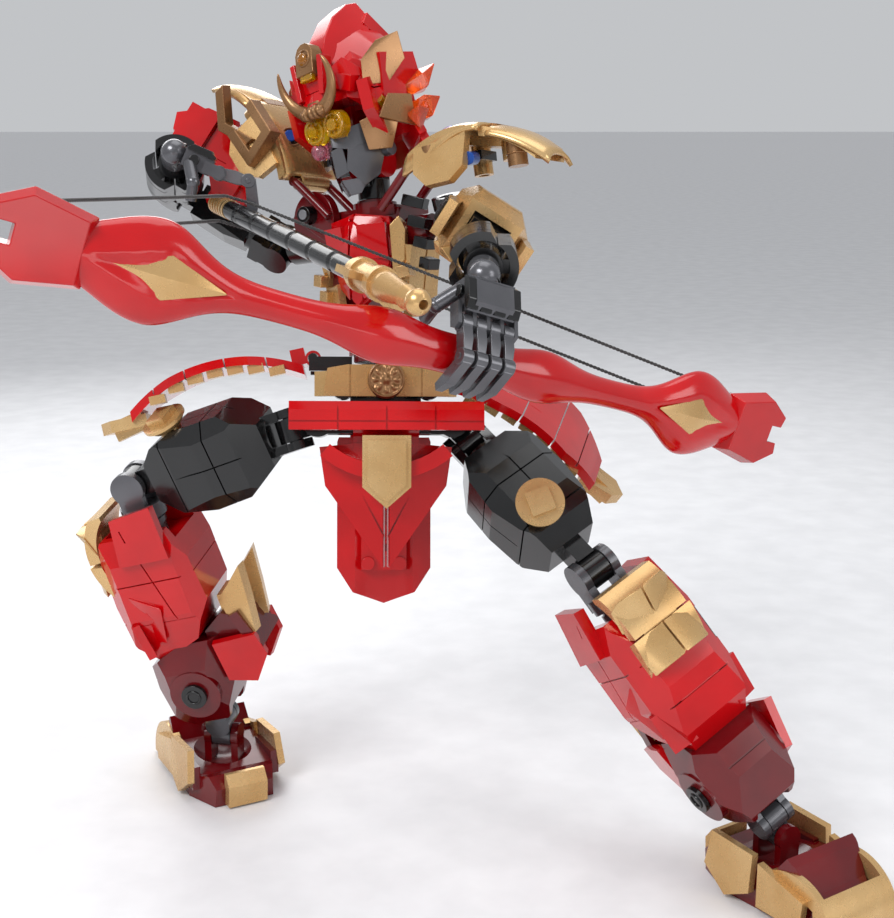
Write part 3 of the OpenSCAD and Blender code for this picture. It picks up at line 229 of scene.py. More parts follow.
waistRise = 16
pelvisUp = axis("waist_turn")
pelvisAcross = axis("hip_spread_r").cross(pelvisUp)
torsoAcross = axis("shoulder_swing_r")
torsoUp = torsoAcross.cross(axis("guard_lift_r"))
bowBack = -axis("arrow_slide")
homes = {
    "pelvis": home(spot("waist_turn") - pelvisUp * waistRise * mm, pelvisAcross, pelvisUp),
    "torso": home(spot("torso_bend"), torsoAcross, torsoUp),
    "head": home(spot("head_nod"), axis("head_nod"), axis("neck_turn")) @ turned(turn=(7, 0,
        0)) @ turned(turn=(0, -7, 0)),
    "rear_skirt": home(spot("rear_skirt_lift"), pelvisAcross, pelvisUp),
    "bow": home(spot("bow_turn"), bowBack.cross(axis("bow_turn")), axis("bow_turn")),
}
homes["arrow"] = homes["bow"] @ turned((12.6, 0, 29))
guardOpen = {"r": 58, "l": 4}
fingerOpen = {"r": 9, "l": 0}
outward = {"r": -1, "l": 1}
for k, s in outward.items():
    flip = Matrix.Scale(s, 4, (1, 0, 0))
    homes["upper_arm_" + k] = home(spot("shoulder_spread_" + k), axis("elbow_" + k),
        spot("shoulder_spread_" + k) - spot("elbow_" + k))
    homes["hand_" + k] = home(spot("wrist_turn_" + k), axis("finger_curl_" + k),
        spot("wrist_turn_" + k) - spot("finger_curl_" + k))
    homes["fingers_" + k] = homes["hand_" + k] @ turned((0, 0, -16), (fingerOpen[k], 0, 0))
    homes["shin_" + k] = home(spot("knee_" + k), axis("knee_" + k),
        spot("knee_" + k) - spot("ankle_pitch_" + k))
    homes["guard_" + k] = home(spot("guard_lift_" + k), torsoAcross,
        torsoUp) @ turned(turn=(0, -s * guardOpen[k], 0)) @ flip
print("home frames", len(homes))


# A moulded edge: a small round along every sharp edge.
def softened(obj, width, segments=2):
    edge = obj.modifiers.new("moulded edge", "BEVEL")
    edge.width = width * mm
    edge.segments = segments
    edge.limit_method = "ANGLE"
    edge.angle_limit = math.radians(30)
    edge.use_clamp_overlap = True
    edge.harden_normals = True
    return edge


# Runs one bmesh maker and puts what it made in place.
def added(bm, make, where):
    made = make(bm)["verts"]
    bmesh.ops.transform(bm, matrix=where, verts=made)
    return made


def block(bm, size, where):
    added(bm, lambda b: bmesh.ops.create_cube(b, size=1), where @ Matrix.Diagonal((*size, 1)))


# Round bar or cone along Z, by its two radii.
def drum(bm, bottom, top, length, where, sides=32):
    added(bm, lambda b: bmesh.ops.create_cone(b, cap_ends=True, segments=sides, radius1=bottom, radius2=top,
        depth=length), where)


def ball(bm, radius, where, rings=20):
    added(bm, lambda b: bmesh.ops.create_uvsphere(b, u_segments=rings * 2, v_segments=rings, radius=radius),
        where)


# A plate in the X-Z plane, thick along Y; taper shrinks its front face (towards -Y).
def panel(bm, outline, thick, where, taper=1.0):
    middle = Vector((sum(p[0] for p in outline), 0, sum(p[1] for p in outline))) / len(outline)
    rings = []
    for y, scale in ((thick / 2, 1), (-thick / 2, taper)):
        rings.append([bm.verts.new(where @ (middle + (Vector((p[0], 0, p[1])) - middle) * scale + Vector((0,
            y, 0)))) for p in outline])
    bm.faces.new(rings[0])
    bm.faces.new(list(reversed(rings[1])))
    for i in range(len(outline)):
        n = (i + 1) % len(outline)
        bm.faces.new((rings[0][i], rings[1][i], rings[1][n], rings[0][n]))


sideways = Matrix.Rotation(math.radians(90), 4, "Z")


# Skins a row of rings of points; both ends are capped unless closed.
def sweep(bm, rings, closed=False):
    loops = [[bm.verts.new(p) for p in ring] for ring in rings]
    count = len(loops[0])
    for a, b in zip(loops, loops[1:] + (loops[:1] if closed else [])):
        for i in range(count):
            bm.faces.new((a[i], a[(i + 1) % count], b[(i + 1) % count], b[i]))
    if not closed:
        bm.faces.new(list(reversed(loops[0])))
        bm.faces.new(loops[-1])


# A round bar that follows points.
def tube(bm, points, radius, sides=12):
    points = [Vector(p) for p in points]
    rings = []
    side = None
    for i, p in enumerate(points):
        ahead = (points[min(i + 1, len(points) - 1)] - points[max(i - 1, 0)]).normalized()
        side = (side or ahead.orthogonal()) - ahead * (side or ahead.orthogonal()).dot(ahead)
        side = side.normalized()
        other = ahead.cross(side)
        r = radius[i] if isinstance(radius, list) else radius
        rings.append([p + (side * math.cos(a) + other * math.sin(a)) * r
            for a in (2 * math.pi * n / sides for n in range(sides))])
    sweep(bm, rings)


# Builds one piece in its body's home frame and rides it on that body.
def piece(name, body, finish, build, edge=0.25, replaces=(), thick=0, rounds=0):
    bm = bmesh.new()
    build(bm)
    bmesh.ops.transform(bm, matrix=homes[body], verts=bm.verts)
    bmesh.ops.recalc_face_normals(bm, faces=bm.faces)
    shape = bpy.data.meshes.new(name)
    bm.to_mesh(shape)
    bm.free()
    obj = bpy.data.objects.new(name, shape)
    bpy.context.collection.objects.link(obj)
    shape.materials.append(finish)
    for face in shape.polygons:
        face.use_smooth = True
    if rounds:
        smooth = obj.modifiers.new("moulded form", "SUBSURF")
        smooth.levels = smooth.render_levels = rounds
    if thick:
        wall = obj.modifiers.new("wall", "SOLIDIFY")
        wall.thickness = thick * mm
        wall.offset = 0
    if edge:
        softened(obj, edge)
    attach(obj, body)
    if replaces:
        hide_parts(*replaces)
    return obj


for name, obj in nodes.items():
    obj.data.materials.clear()
    obj.data.materials.append(finishes[slotOf[name]])
    softened(obj, 0.25)
    for face in obj.data.polygons:
        face.use_smooth = True
print("carried-over pieces", len(nodes))


# A convex faceted solid through its corner points.
def facets(bm, points, where=Matrix()):
    corners = [bm.verts.new(where @ Vector(p)) for p in points]
    made = bmesh.ops.convex_hull(bm, input=corners)
    spare = [g for g in made["geom_interior"] + made["geom_unused"] if isinstance(g, bmesh.types.BMVert)]
    bmesh.ops.delete(bm, geom=list(set(spare)), context="VERTS")


# A surface through rows of points, given its wall by a modifier.
def skin(bm, rows):
    net = [[bm.verts.new(p) for p in row] for row in rows]
    for a, b in zip(net, net[1:]):
        for i in range(len(a) - 1):
            bm.faces.new((a[i], a[i + 1], b[i + 1], b[i]))


def hoop(bm, radius, wire, where, turns=32):
    sweep(bm, [[where @ Vector(((radius + wire * math.cos(b)) * math.cos(a),
        (radius + wire * math.cos(b)) * math.sin(a), wire * math.sin(b)))
                for b in (2 * math.pi * n / 8 for n in range(8))]
                    for a in (2 * math.pi * n / turns for n in range(turns))], closed=True)


facing = Matrix.Rotation(math.radians(90), 4, "X")
across = Matrix.Rotation(math.radians(90), 4, "Y")

hood = {
    "crest": [(4.2, -16.9, 32), (4.2, -15.8, 37), (4, -12.2, 43), (3.6, -5.4, 50.2), (3.2, 3.4, 54.7),
        (3, 8.8, 55.4), (4.6, 11, 50.6), (7.4, 7, 42), (7.2, -8, 34)],
    "cheek": [(3, -9, 42.5), (4, 4, 47.4), (4.6, 13, 46), (16.6, -6, 31), (18.9, 8, 32), (15.6, 17, 31),
        (16.4, -9, 23), (18.9, 11, 20.6), (12.4, 19, 27), (6, -14.6, 31.6)],
    "roof": (6, 16.4, 5), "roofAt": 3.25,
}


def hoodCrest(bm):
    facets(bm, [(s * x, y, z) for x, y, z in hood["crest"] for s in (-1, 1)])


def hoodCheeks(bm):
    for s in (-1, 1):
        facets(bm, [(s * x, y, z) for x, y, z in hood["cheek"]])
        block(bm, hood["roof"], turned((s * hood["roofAt"], 14, 43.8), (-42, 0, 0)))
        facets(bm, [(s * x, y, z) for x, y, z in ((6, -18, 31), (13, -16, 34), (17.6, -10, 27), (15, -15,
            24), (7, -18.6, 27.4))])


piece("hood_crest", "head", redAbs, hoodCrest, edge=0.35)
piece("hood_cheeks", "head", redAbs, hoodCheeks, edge=0.35)

brow = {"arch": [(-4.4, -5.6), (4.4, -5.6), (4.4, 2.6), (3.2, 5), (1.2, 6.2), (-1.2, 6.2), (-3.2, 5),
    (-4.4, 2.6)], "lean": -14, "at": (0, -18.4, 36)}


def browBlock(bm):
    where = turned(brow["at"], (brow["lean"], 0, 0))
    panel(bm, brow["arch"], 4.4, where, 0.9)
    hoop(bm, 2.6, 0.5, where @ turned((0, -2.2, 0.8)) @ facing)
    for s in (-1, 1):
        facets(bm, [(s * min(x, 24 if s > 0 else 19.4), y, z)
            for x, y, z in ((17, -14, 23), (17.6, -13, 31), (20, -6, 37), (23.6, 2, 39), (23, 3, 30),
            (19.4, -4, 23), (18, 0, 26), (19, 2, 37))])
        facets(bm, [(s * min(x, 24 if s > 0 else 19.4), y, z)
            for x, y, z in ((19, -12, 12), (21.4, -8, 19), (23, 2, 18), (20, 4, 8), (17, -11, 12),
            (18, 3, 9))])


def browFrame(bm):
    for s in (-1, 1):
        block(bm, (2.2, 5, 13), turned((s * 5.8, -18.4, 30), (-8, s * 6, 0)))
        facets(bm, [(s * x, y, z) for x, y, z in ((0, -20, 25.6), (6.6, -19, 26), (5, -21, 21), (0, -22,
            20.6), (6, -15, 21), (0, -15, 21), (0, -15, 26))])


piece("brow_block", "head", bronzeAbs, browBlock, edge=0.3)
piece("brow_frame", "head", redAbs, browFrame, edge=0.3)

horn = {"centre": (0, -20.8, 30.4), "radius": 11.4, "start": -82, "end": 26, "wide": 2.5, "deep": 1.7,
    "steps": 20}


def hornPair(bm):
    x0, y0, z0 = horn["centre"]
    for s in (-1, 1):
        rings = []
        for i in range(horn["steps"] + 1):
            t = i / horn["steps"]
            a = math.radians(horn["start"] + (horn["end"] - horn["start"]) * t)
            wide = horn["wide"] * (1 - t) ** 0.6 + 0.15
            deep = horn["deep"] * (1 - t) ** 0.5 + 0.15
            rings.append([(s * (x0 + (horn["radius"] + wide * math.cos(b)) * math.cos(a)),
                y0 - 2.4 * t * t + deep * math.sin(b),
                           z0 + (horn["radius"] + wide * math.cos(b)) * math.sin(a))
                               for b in (2 * math.pi * n / 12 for n in range(12))])
        sweep(bm, rings)
        drum(bm, 1.9, 1.9, 1.4, turned((s * 3.6, -22.2, 19)) @ across)
        drum(bm, 2.4, 2.4, 0.9, turned((s * 2.2, -22.2, 19)) @ across)
    drum(bm, 1.5, 1.5, 10, turned((0, -22.2, 19)) @ across)
    drum(bm, 2.2, 2.2, 1.6, turned((0, -22.2, 19)) @ across)
    block(bm, (5, 5, 4), turned((0, -18.8, 20.6)))


piece("crescent_horns", "head", bronzeAbs, hornPair, edge=0, replaces=("horns",))

mask = {
    "brow": [(0, -16.6, 12), (9.6, -11.4, 12.6), (10.4, -6, 12), (9.4, -7, 3), (5, -14.4, 5), (0, -17.4, 7),
        (0, -7, 12)],
    "side": [(4.4, -14.8, 6), (10.2, -8.6, 6), (10.8, -4, 2), (9, -7, -5), (5.6, -12, -7.6), (3, -16.4, -1),
        (6.6, -13, 1.6)],
    "nose": [(0, -18.4, 6), (2.6, -15.4, 7), (3.4, -15.6, -2), (0, -18.8, -3.4), (0, -12, 7), (0, -12, -3)],
    "chin": [(0, -16.8, -4), (5.4, -13, -4.6), (6, -10.4, -6), (3.2, -12, -9.6), (0, -14, -9.6),
        (0, -10, -6)],
}


def maskPlates(bm):
    for points in mask.values():
        for s in (-1, 1):
            facets(bm, [(s * x, y, z) for x, y, z in points])
    for s in (-1, 1):
        block(bm, (3.4, 9, 9), turned((s * 10.4, -5.6, 7.6), (0, 0, s * 12)))
        drum(bm, 2.6, 2.6, 3, turned((s * 11.6, -3, 3)) @ across)


def jawPlates(bm):
    for s in (-1, 1):
        facets(bm, [(s * x, y, z) for x, y, z in ((10.6, -13, 13), (17.4, -9.6, 14), (18.6, -3, 10), (16, -6,
            2), (10.8, -12, 3), (11, -4, 12), (12, -4, 3))])


piece("mask_plates", "head", steelAbs, maskPlates, edge=0.25, replaces=("face_mask",))
piece("jaw_plates", "head", bronzeAbs, jawPlates, edge=0.3)

lampPair = {"x": 4.6, "y": -17.2, "z": 13.8, "radius": 4.7}


def lampDiscs(bm):
    for s in (-1, 1):
        at = turned((s * lampPair["x"], lampPair["y"], lampPair["z"])) @ facing
        drum(bm, lampPair["radius"], lampPair["radius"], 3.4, at, 40)
        hoop(bm, lampPair["radius"] - 1, 0.7, at @ turned((0, 0, 1.8)), 40)
        drum(bm, 2, 2, 2.2, at @ turned((0, 0, 2)))
        for n in range(8):
            a = 2 * math.pi * n / 8
            block(bm, (1.3, 0.7, 0.8), at @ turned((2.9 * math.cos(a), 2.9 * math.sin(a), 1.9),
                (0, 0, math.degrees(a))))
    block(bm, (5.4, 1.8, 2.2), turned((0, -20.6, 30.6), (-12, 0, 0)))
    for s in (1, -1):
        drum(bm, 2.6, 2, 4, turned((s * 16.6, -7.4, 17.6), (60, 0, s * 20)))
        drum(bm, 2.3, 2.3, 4, turned((s * 18.4, -2.4, 16.6), (75, 0, s * 30)))


def emberBricks(bm):
    facets(bm, [(19, 4, 22), (26, 7, 24), (27, 13, 27), (20, 12, 27), (19, 5, 18), (26, 8, 19.6),
        (20, 12, 19)])
    facets(bm, [(19, 5, 16), (25, 6, 17), (26, 13, 16), (24, 9, 10), (19, 6, 9), (18, 13, 10), (19, 13, 17)])
    facets(bm, [(20, 0, 12), (25.6, 1, 13.4), (25, 7, 12.4), (20, 6, 6), (23, 1, 7), (19.4, 7, 13)])


def jewelDrop(bm):
    ball(bm, 2, turned((0, -20.9, 36.8)) @ Matrix.Diagonal((1, 0.55, 1.1, 1)))


def roseDome(bm):
    ball(bm, 3, turned((-6.6, -16.6, 7.4)))
    drum(bm, 3, 3, 3, turned((-6.6, -14.6, 7.4)) @ facing)


piece("lamp_discs", "head", amberPc, lampDiscs, edge=0.15, replaces=("lamps",))
piece("ember_bricks", "head", orangePc, emberBricks, edge=0.3)
piece("brow_jewel", "head", honeyPc, jewelDrop, edge=0)
piece("rose_dome", "head", rosePc, roseDome, edge=0)
print("head pieces")

saddle = {"drumAt": (20, -32), "radius": 38.7, "from": 1, "to": 30.5, "front": {"r": -14, "l": -17},
    "back": 13, "droop": 8, "wingFrom": 31.5, "wingTo": 50}


# Height of the curved plates over a point of the guard.
def guardRise(x):
    x0, z0 = saddle["drumAt"]
    return z0 + math.sqrt(saddle["radius"] ** 2 - (x - x0) ** 2)


def saddlePlates(bm, front):
    rows = []
    for i in range(19):
        x = saddle["from"] + (saddle["to"] - saddle["from"]) * i / 18
        row = []
        for j in range(19):
            y = saddle["back"] + (front - saddle["back"]) * j / 18
            fall = max(0, -10.5 - y) / 6.5
            row.append((x, y + fall * 0.8,
                guardRise(x) - saddle["droop"] * fall ** 2 * (0.62 + 0.38 * math.cos((x - 6) / 7.6))))
        rows.append(row)
    skin(bm, rows)
    rows = []
    for i in range(11):
        t = i / 10
        x = saddle["wingFrom"] + (saddle["wingTo"] - saddle["wingFrom"]) * t
        half = 12.5 - 5.5 * t * t
        rows.append([(x, -1 + half * v / 6, guardRise(min(x, 52)) - 3.4 * (abs(v) / 6) ** 3 + 0.3 * t)
            for v in range(-6, 7)])
    skin(bm, rows)


pegSpots = {"r": (), "l": ((11, -13.4, 9), (38, -6, 8))}


def guardPegs(bm, pegs):
    for x, y, long in pegs:
        at = turned((x, y, guardRise(x) - 3.4 - long / 2))
        drum(bm, 3.2, 3.2, long, at)
        hoop(bm, 3.2, 0.35, at)
    for x, y in ((24, 3), (41, -1)):
        hoop(bm, 1.5, 0.25, turned((x, y, guardRise(x) + 0.55), (0, (x - 20) * 1.6, 0)))
    block(bm, (3.4, 13, 2.6), turned((31, -1, guardRise(31) - 0.6), (0, 17, 0)))
    hoop(bm, 3.4, 0.55, turned((14, -7, guardRise(14) + 0.75), (16, -9, 0)))


# Painted shade: a black disc stands for the shaded inside of the pin hole, and a black block stands for the shade
# under the guard plate.
def guardPaintedShade(bm):
    drum(bm, 3.3, 3.3, 0.8, turned((14, -7, guardRise(14) + 0.55), (16, -9, 0)))
    block(bm, (12, 9, 3), turned((20, -3, -2.6), (0, 3, 0)))


def bluePins(bm):
    drum(bm, 2.1, 2.1, 2.2, turned((14.3, -7.4, guardRise(14) + 0.6), (30, -9, 0)))
    drum(bm, 2.1, 2.1, 5, turned((25, -12.5, -4.4), (96, 0, 8)))


for k in outward:
    body = "guard_" + k
    piece("saddle_plates_" + k, body, goldAbs,
        lambda bm: saddlePlates(bm, saddle["front"][k]), edge=0, thick=1.3)
    piece("guard_pegs_" + k, body, bronzeAbs, lambda bm: guardPegs(bm, pegSpots[k]),
        edge=0.2)
    # Black painted shade in the pin hole and under the guard plate.
    piece("guard_painted_shade_" + k, body, blackAbs, guardPaintedShade, edge=0.1)
    piece("guard_pins_" + k, body, blueAbs, bluePins, edge=0.2)


def bentBracket(bm):
    panel(bm, [(-8, 8), (8, 10), (8, 6.4), (-4.4, 4.8), (-4.4, -3.4), (7, -2.6), (8, -6.4), (-8, -7.6)], 5,
        turned((19, -17.4, 0), (0, 12, 6)), 0.97)
    panel(bm, [(-12, 4), (0, -3.4), (12, 3), (12, 7.4), (0, 1), (-12, 8)], 4.4,
        turned((30, -16.4, -7), (0, -4, 0)), 0.97)


piece("bent_bracket", "guard_r", bronzeAbs, bentBracket, edge=0.35)
print("shoulder guards")

chest = {
    "wedge": [(1, -13.6, 42.4), (10.6, -11.6, 41), (13, -9, 31), (9.4, -11, 18.6), (3, -14.2, 14),
        (0.3, -17.4, 27), (0.3, -16, 35), (12, -4, 36), (3, -5, 20)],
}


def chestWedges(bm):
    for s in (-1, 1):
        facets(bm, [(s * x, y, z) for x, y, z in chest["wedge"]])


def chestTrim(bm):
    for s in (-1, 1):
        facets(bm, [(s * x, y, z) for x, y, z in ((13, -10.6, 38), (15.6, -8.6, 41), (17.4, -7.6, 36), (17,
            -8.6, 26), (13.4, -11, 22), (15, -2, 38), (15, -2, 24))])
        for i in range(3):
            block(bm, (4.6, 7, 4), turned((s * (17 - i * 1.6), -9 + i * 0.6, 22 - i * 5.6),
                (0, s * -12, s * 18)))


def backDisc(bm):
    drum(bm, 10, 10, 3.4, turned((-19.6, -8, 43)) @ facing @ turned(turn=(0, -8, 0)), 48)
    block(bm, (20, 1, 1.4), turned((-19.6, -10, 39.4), (0, 34, 0)))


def discPin(bm):
    drum(bm, 3.2, 2.8, 5, turned((-20.6, -11.6, 45)) @ facing)
    for i in range(4):
        block(bm, (8 - i, 5, 3.6), turned((19.6 + i * 2, -4 - i, 45 - i * 7), (0, 18, 12 - i * 9)))


def pinHole(bm):
    drum(bm, 1.7, 1.7, 5.4, turned((-20.6, -11.7, 45)) @ facing)


piece("chest_wedges", "torso", redAbs, chestWedges, edge=0.3)
piece("chest_trim", "torso", goldAbs, chestTrim, edge=0.3)
piece("collar_disc", "torso", darkRedAbs, backDisc, edge=0.3)
piece("collar_pin", "torso", blackAbs, discPin, edge=0.3)
piece("collar_pin_bore", "torso", silverAbs, pinHole, edge=0.1)

medal = {"at": (0, -17.6, 9.4), "radius": 6.3, "rings": 22, "round": 72}


# Raised rim, an eight-petalled flower and a round boss.
def medalRise(r, a):
    rim = 1.1 * math.exp(-((r - 0.92) / 0.07) ** 2)
    lobes = 0.8 * math.cos(4 * a) ** 2 * math.exp(-((r - 0.58) / 0.2) ** 2)
    return 0.5 + rim + lobes + 1.5 * math.exp(-(r / 0.24) ** 2)


def medalRelief(bm):
    x0, y0, z0 = medal["at"]
    rings = [[(x0 + medal["radius"] * r * math.cos(a), y0 - medalRise(r, a) * min(1, (1 - r) * 14),
        z0 + medal["radius"] * r * math.sin(a))
              for a in (2 * math.pi * n / medal["round"] for n in range(medal["round"]))]
             for r in ((i + 0.4) / (medal["rings"] + 0.4) for i in range(medal["rings"] + 1))]
    sweep(bm, [[(x, y0 + 1.4, z) for x, y, z in rings[-1]]] + rings[::-1])


piece("belt_medallion", "pelvis", bronzeAbs, medalRelief, edge=0)


def studPlate(bm):
    for x in (-5.6, 5.6):
        for z in (-51.6, -40.4):
            drum(bm, 2.4, 2.4, 1.7, turned((x, -2.2, z)) @ facing)
    hoop(bm, 2.6, 0.7, turned((0, -1.8, -46)) @ facing)
    for z in (-14, -22, -30):
        drum(bm, 1.6, 1.6, 1, turned((0, -1.4, z)) @ facing)
        drum(bm, 1.3, 1.3, 1.4, turned((9, 1.4, z - 3)) @ facing)


piece("stud_plate", "rear_skirt", redAbs, studPlate, edge=0.15)
print("torso and pelvis pieces")


# Two-segment fingers with round knuckles; x places of the four fingers across the palm.
finger = {"places": (-6.6, -2.2, 2.2, 6.6), "wide": 3.1}


def fingerBones(bm):
    w = finger["wide"] / 2
    for x in finger["places"]:
        at = turned((x, 0, 0))
        drum(bm, 2.5, 2.5, finger["wide"], at @ across, 24)
        facets(bm, [(s * q * w, y, z) for s in (-1, 1) for q, y, z in
                    ((1, 1.9, -0.5), (0.8, -1.9, -1), (1, 2.3, -5), (0.7, -2.1, -6.5), (0.8, 1.6, -9.6),
                        (0.7, -1.5, -9.6))], at)
        drum(bm, 2.35, 2.35, finger["wide"] + 0.3, turned((x, 0.2, -9.7)) @ across, 24)
        facets(bm, [(s * q * w, y, z) for s in (-1, 1) for q, y, z in
                    ((0.9, 2, -9), (0.9, 1.4, -12), (1, -6.4, -15), (0.7, -12.4, -15.1), (0.7, -12.8, -12.9),
                        (0.8, -7, -11.4), (0.8, 0.2, -8.6))], at)
        drum(bm, 0.9, 0.9, finger["wide"] + 0.9, at @ across, 16)
        drum(bm, 0.9, 0.9, finger["wide"] + 0.9, turned((x, 0.2, -9.7)) @ across, 16)


def handPlates(bm):
    for i, x in enumerate((-6.6, -2.2, 2.2, 6.6)):
        facets(bm, [(x + q * 1.8, y, z) for q in (-1, 1)
            for y, z in ((3.6, -3.6), (5.4, -5), (5.4, -11), (4, -13.4), (3, -4), (3, -13))])
    drum(bm, 4.6, 4.2, 2, turned((0, 0, -1.6)))
    for s in (-1, 1):
        drum(bm, 1.7, 1.7, 1.4, turned((s * 8.2, 0.6, -7)) @ across)


for k in outward:
    piece("finger_bones_" + k, "fingers_" + k, steelAbs, fingerBones, edge=0.2,
        replaces=("fingers_" + k,))
    piece("hand_plates_" + k, "hand_" + k, blackAbs, handPlates, edge=0.25)


# Sloped bricks over the drawing side of the bow arm.
def armBoxes(bm):
    for s in (-1, 1):
        facets(bm, [(s * x, y, z) for x, y, z in ((0, -12.6, -12), (8.6, -12.6, -12.6), (11.6, -9.6, -14),
            (11.8, -9.6, -24), (9.4, -12.8, -21), (0, -13.4, -21), (4, -4, -14), (4, -4, -24))])
        facets(bm, [(s * x, y, z) for x, y, z in ((0, -12, -22.4), (8.4, -12, -22.4), (10.4, -9, -23.4),
            (9.4, -8.6, -32), (5, -10.4, -33), (0, -10.6, -33), (4, -4, -24), (4, -4, -31))])
        panel(bm, [(-5.4, 7), (4.6, 8), (5.6, 0), (3.4, -9), (-3, -10), (-6, -3)], 2.4,
            turned((s * 13.4, 0, -21)) @ sideways, 0.86)


piece("bow_arm_boxes", "upper_arm_l", goldAbs, armBoxes, edge=0.35)


def armBars(bm):
    for z in (-16, -20.4, -24.8):
        block(bm, (1.6, 7, 1.6), turned((14.7, 0, z)))
    drum(bm, 3.4, 3.4, 3, turned((0, 0, -9.6)))


piece("bow_arm_bars", "upper_arm_l", blackAbs, armBars, edge=0.2)
print("hands and arms")

# Overlays of the legs in the shin frame: sloped kneecap bricks, flank slot, vent tile, round plates.
leg = {"pinAt": (-10, -6), "vent": 7, "round": 9.4}


def kneeSlopes(bm):
    for lift, tall, lean in ((-16, 11, 16), (-30.4, 12, -10)):
        for s in (-1, 1):
            facets(bm, [(s * x, y, z) for x, y, z in ((0.2, -22.6, tall / 2), (9.6, -21, tall / 2), (11.8,
                -18, 3), (11.6, -17.4, -tall / 2), (8, -20.4, -tall / 2),
                                                     (0.2, -22, -tall / 2), (4, -16, 4), (4, -16, -4))],
                   turned((0, -1.2, lift)) @ Matrix.Translation((0, -20,
                       0)) @ Matrix.Rotation(math.radians(lean), 4, "X") @ Matrix.Translation((0, 20, 0)))


def flankSlots(bm, s):
    block(bm, (1.6, 9.6, 12.6), turned((s * 15.6, -8, -34)))
    for y in leg["pinAt"]:
        drum(bm, 1.1, 1.1, 12, turned((s * 16.2, y + 0.4, -34)))
    for x in (-1, 1):
        drum(bm, leg["round"] / 2, leg["round"] / 2, 1.6, turned((x * 16.6, 1, -79)) @ across)
        hoop(bm, 2.4, 0.5, turned((x * 17.5, 1, -79)) @ across)


def ventTile(bm, s):
    block(bm, (1.4, 8, 14), turned((s * 17.4, 5, -36), (14, 0, 0)))
    for n in range(leg["vent"]):
        block(bm, (0.8, 6, 0.9), turned((s * 18.1, 5 - (n - 3) * 0.43, -36 + (n - 3) * 1.75), (14, 0, 0)))


def shinBricks(bm, s):
    for z, lean in ((-29, 3), (-44, -4)):
        facets(bm, [(q * 8.4, y, z + h) for q in (-1, 1)
            for y, h in ((-17.4, 5.6), (-18.4, 1), (-16.4, -6.6), (-12, 5), (-12, -6))])
    for x in (-1, 1):
        facets(bm, [(x * a, y, z) for a, y, z in ((10, -15, -38), (17.4, -9, -36), (18.6, 2, -42), (15.4, -2,
            -57), (10.6, -13.6, -56), (8, -16.4, -47), (10, -4, -40), (10, -4, -54))])


for k, s in outward.items():
    body = "shin_" + k
    piece("knee_slopes_" + k, body, goldAbs, kneeSlopes, edge=0.35)
    piece("flank_slots_" + k, body, blackAbs, lambda bm: flankSlots(bm, s), edge=0.2)
    piece("vent_tile_" + k, body, goldAbs, lambda bm: ventTile(bm, s), edge=0.2)
    piece("shin_bricks_" + k, body, redAbs, lambda bm: shinBricks(bm, s), edge=0.35)
print("legs")


bow = {
    "reach": 106, "sweep": 16, "span": 128, "steps": 212, "round": 48, "gemAt": 85, "gemHalf": 19,
        "gemWide": 7.2, "sink": 1.1,
}


def swell(z, at, before, after):
    return math.exp(-((z - at) / (before if z < at else after)) ** 2)


# Width and depth of a limb at a distance from the grip.
def bowSize(z):
    wide = 8 + 3 * swell(z, 0, 20, 20) + 6.4 * swell(z, 26, 11, 12) + 18.6 * swell(z, 87, 13.5, 17.5)
    deep = 8 + 2 * swell(z, 0, 20, 20) + 3.6 * swell(z, 26, 12, 12) + 5.8 * swell(z, 87, 15, 18)
    return wide, deep


def bowBend(z):
    return bow["sweep"] * (abs(z) / bow["span"]) ** 1.6


# How deep a point lies inside the lozenge outline, 1 at its middle.
def inGem(x, z, grow=1.0):
    return 1 - abs(x) / (bow["gemWide"] * grow) - abs(abs(z) - bow["gemAt"]) / (bow["gemHalf"] * grow)


def bowLimbs(bm):
    rings = []
    for i in range(bow["steps"] + 1):
        z = bow["reach"] * (2 * i / bow["steps"] - 1)
        wide, deep = bowSize(abs(z))
        ring = []
        for n in range(bow["round"]):
            a = 2 * math.pi * n / bow["round"]
            x, y = wide / 2 * math.sin(a), -deep / 2 * math.cos(a)
            # a soft ridge runs along the front face
            y *= 1 - 0.16 * abs(math.sin(a)) ** 1.5
            inside = inGem(x, z)
            if inside > 0:
                y *= 1 - min(inside * 4, 1) * bow["sink"] * 2 / deep
            ring.append((x, bowBend(z) + y, z))
        rings.append(ring)
    sweep(bm, rings)


piece("bow_limb_casting", "bow", redAbs, bowLimbs, edge=0, replaces=("bow_limbs",))


def bowTips(bm):
    outline = [(-9, -12), (9, -12), (12, 4), (7, 13), (3, 12), (3, 7), (-3, 7), (-3, 12), (-7, 13), (-12, 4)]
    for k in (-1, 1):
        where = turned((0, bowBend(112), k * 114), (-9 * k, 0, 0)) @ Matrix.Scale(k, 4, (0, 0, 1))
        panel(bm, outline, 5, where @ turned((0, -2.4, 0)), 0.86)
        panel(bm, outline, 5, where @ turned((0, 2.4, 0), (0, 0, 180)) @ Matrix.Scale(-1, 4, (1, 0, 0)), 0.86)


piece("bow_tip_blocks", "bow", redAbs, bowTips, edge=0.3)


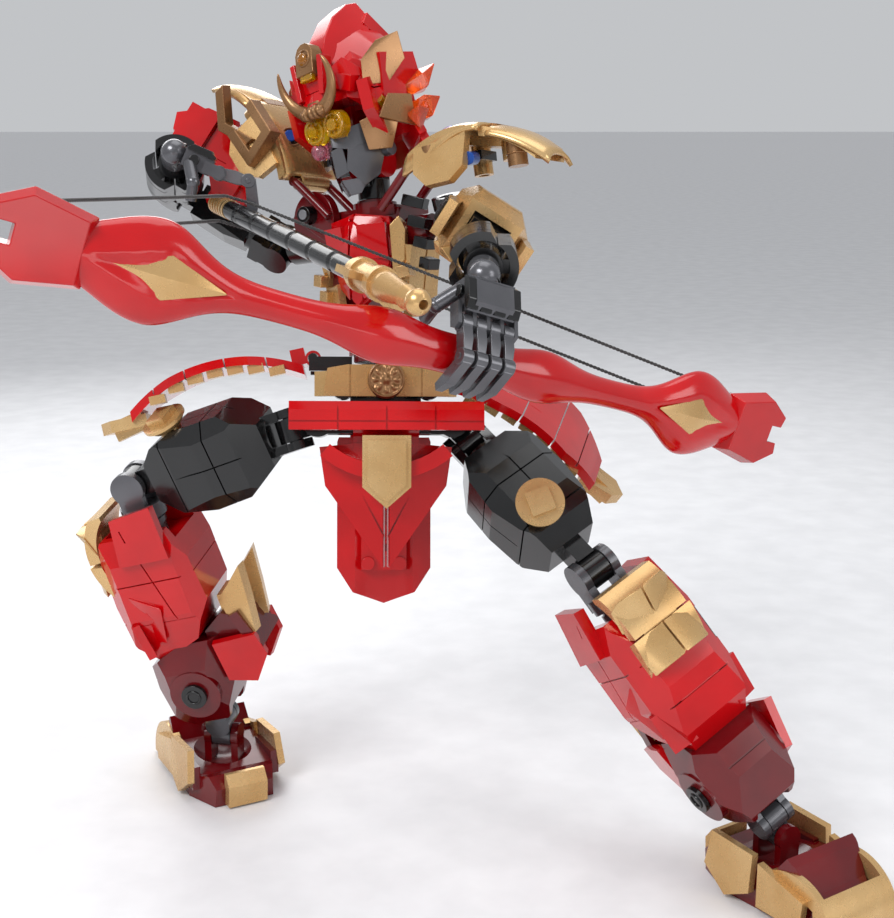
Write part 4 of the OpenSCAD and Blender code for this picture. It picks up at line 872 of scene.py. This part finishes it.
# Lozenges of two facets meeting in a ridge, on both faces.
def bowGems(bm):
    for k in (-1, 1):
        for face in (-1, 1):
            high, low = 6.9 * face, 5.2 * face
            at = bowBend(bow["gemAt"])
            top, foot = ((0, bowBend(bow["gemAt"] + d) + 4.6 * face, k * (bow["gemAt"] + d))
                for d in (15, -16))
            ridge = (0, at + high, k * (bow["gemAt"] + 1))
            sides = [(x, at + low, k * bow["gemAt"]) for x in (-5.8, 5.8)]
            v = [bm.verts.new(p) for p in (top, sides[0], foot, sides[1], ridge,
                (0, at + low - 3 * face, k * bow["gemAt"]))]
            for a, b in ((0, 1), (1, 2), (2, 3), (3, 0)):
                bm.faces.new((v[a], v[b], v[4]))
                bm.faces.new((v[b], v[a], v[5]))


piece("bow_gem_inlays", "bow", goldAbs, bowGems, edge=0.2, replaces=("bow_gems",))


arrow = {"from": 18, "to": 128, "radius": 3.1, "bite": 0.35, "pitch": 16}


def arrowRod(bm):
    rings = []
    steps = int((arrow["to"] - arrow["from"]) / 0.8)
    for i in range(steps + 1):
        y = arrow["from"] + 0.8 * i
        deep = arrow["bite"] if (y - arrow["from"]) % arrow["pitch"] > arrow["pitch"] - 1.7 else 0
        rings.append([((arrow["radius"] - deep) * math.cos(a), y, (arrow["radius"] - deep) * math.sin(a))
            for a in (2 * math.pi * n / 32 for n in range(32))])
    sweep(bm, rings)


piece("arrow_rod", "arrow", blackAbs, arrowRod, edge=0, replaces=("arrow_shaft",))

cordSize = {"wide": 1.2, "turn": 2.6, "reach": 118, "spread": 4, "shift": 3, "nockY": 138, "lead": 18,
    "gap": 4.2, "rise": 4.6}


# Two strands wound round each other along a path.
def twisted(bm, path, wide, pitch):
    points = [Vector(p) for p in path]
    for phase in (0, math.pi):
        line, run = [], 0
        for a, b in zip(points, points[1:]):
            ahead = (b - a).normalized()
            side = ahead.cross(Vector((1, 0, 0))).normalized()
            other = ahead.cross(side)
            steps = max(2, int((b - a).length / (pitch / 8)))
            for i in range(steps):
                turn = 2 * math.pi * run / pitch + phase
                line.append(a.lerp(b, i / steps) + (side * math.cos(turn) + other * math.sin(turn)) * wide / 4)
                run += (b - a).length / steps
        tube(bm, line, wide / 4, 6)


for n, x in enumerate((-1, 1)):
    c = cordSize
    ends = [(x * c["spread"] + c["shift"], bowBend(c["reach"]) + 6.4, k * c["reach"]) for k in (-1, 1)]
    mids = [(12.6 + x * c["gap"], c["nockY"] - c["lead"], 29 + k * c["rise"]) for k in (-1, 1)]
    route = [ends[0], mids[0], mids[1], ends[1]]
    cord = piece(f"bow_cord_{n + 1}", "bow", cordYarn,
        lambda bm: twisted(bm, route, c["wide"], c["turn"]), edge=0,
                 replaces=("bow_string",) if n == 0 else ())
print("bow and cords")
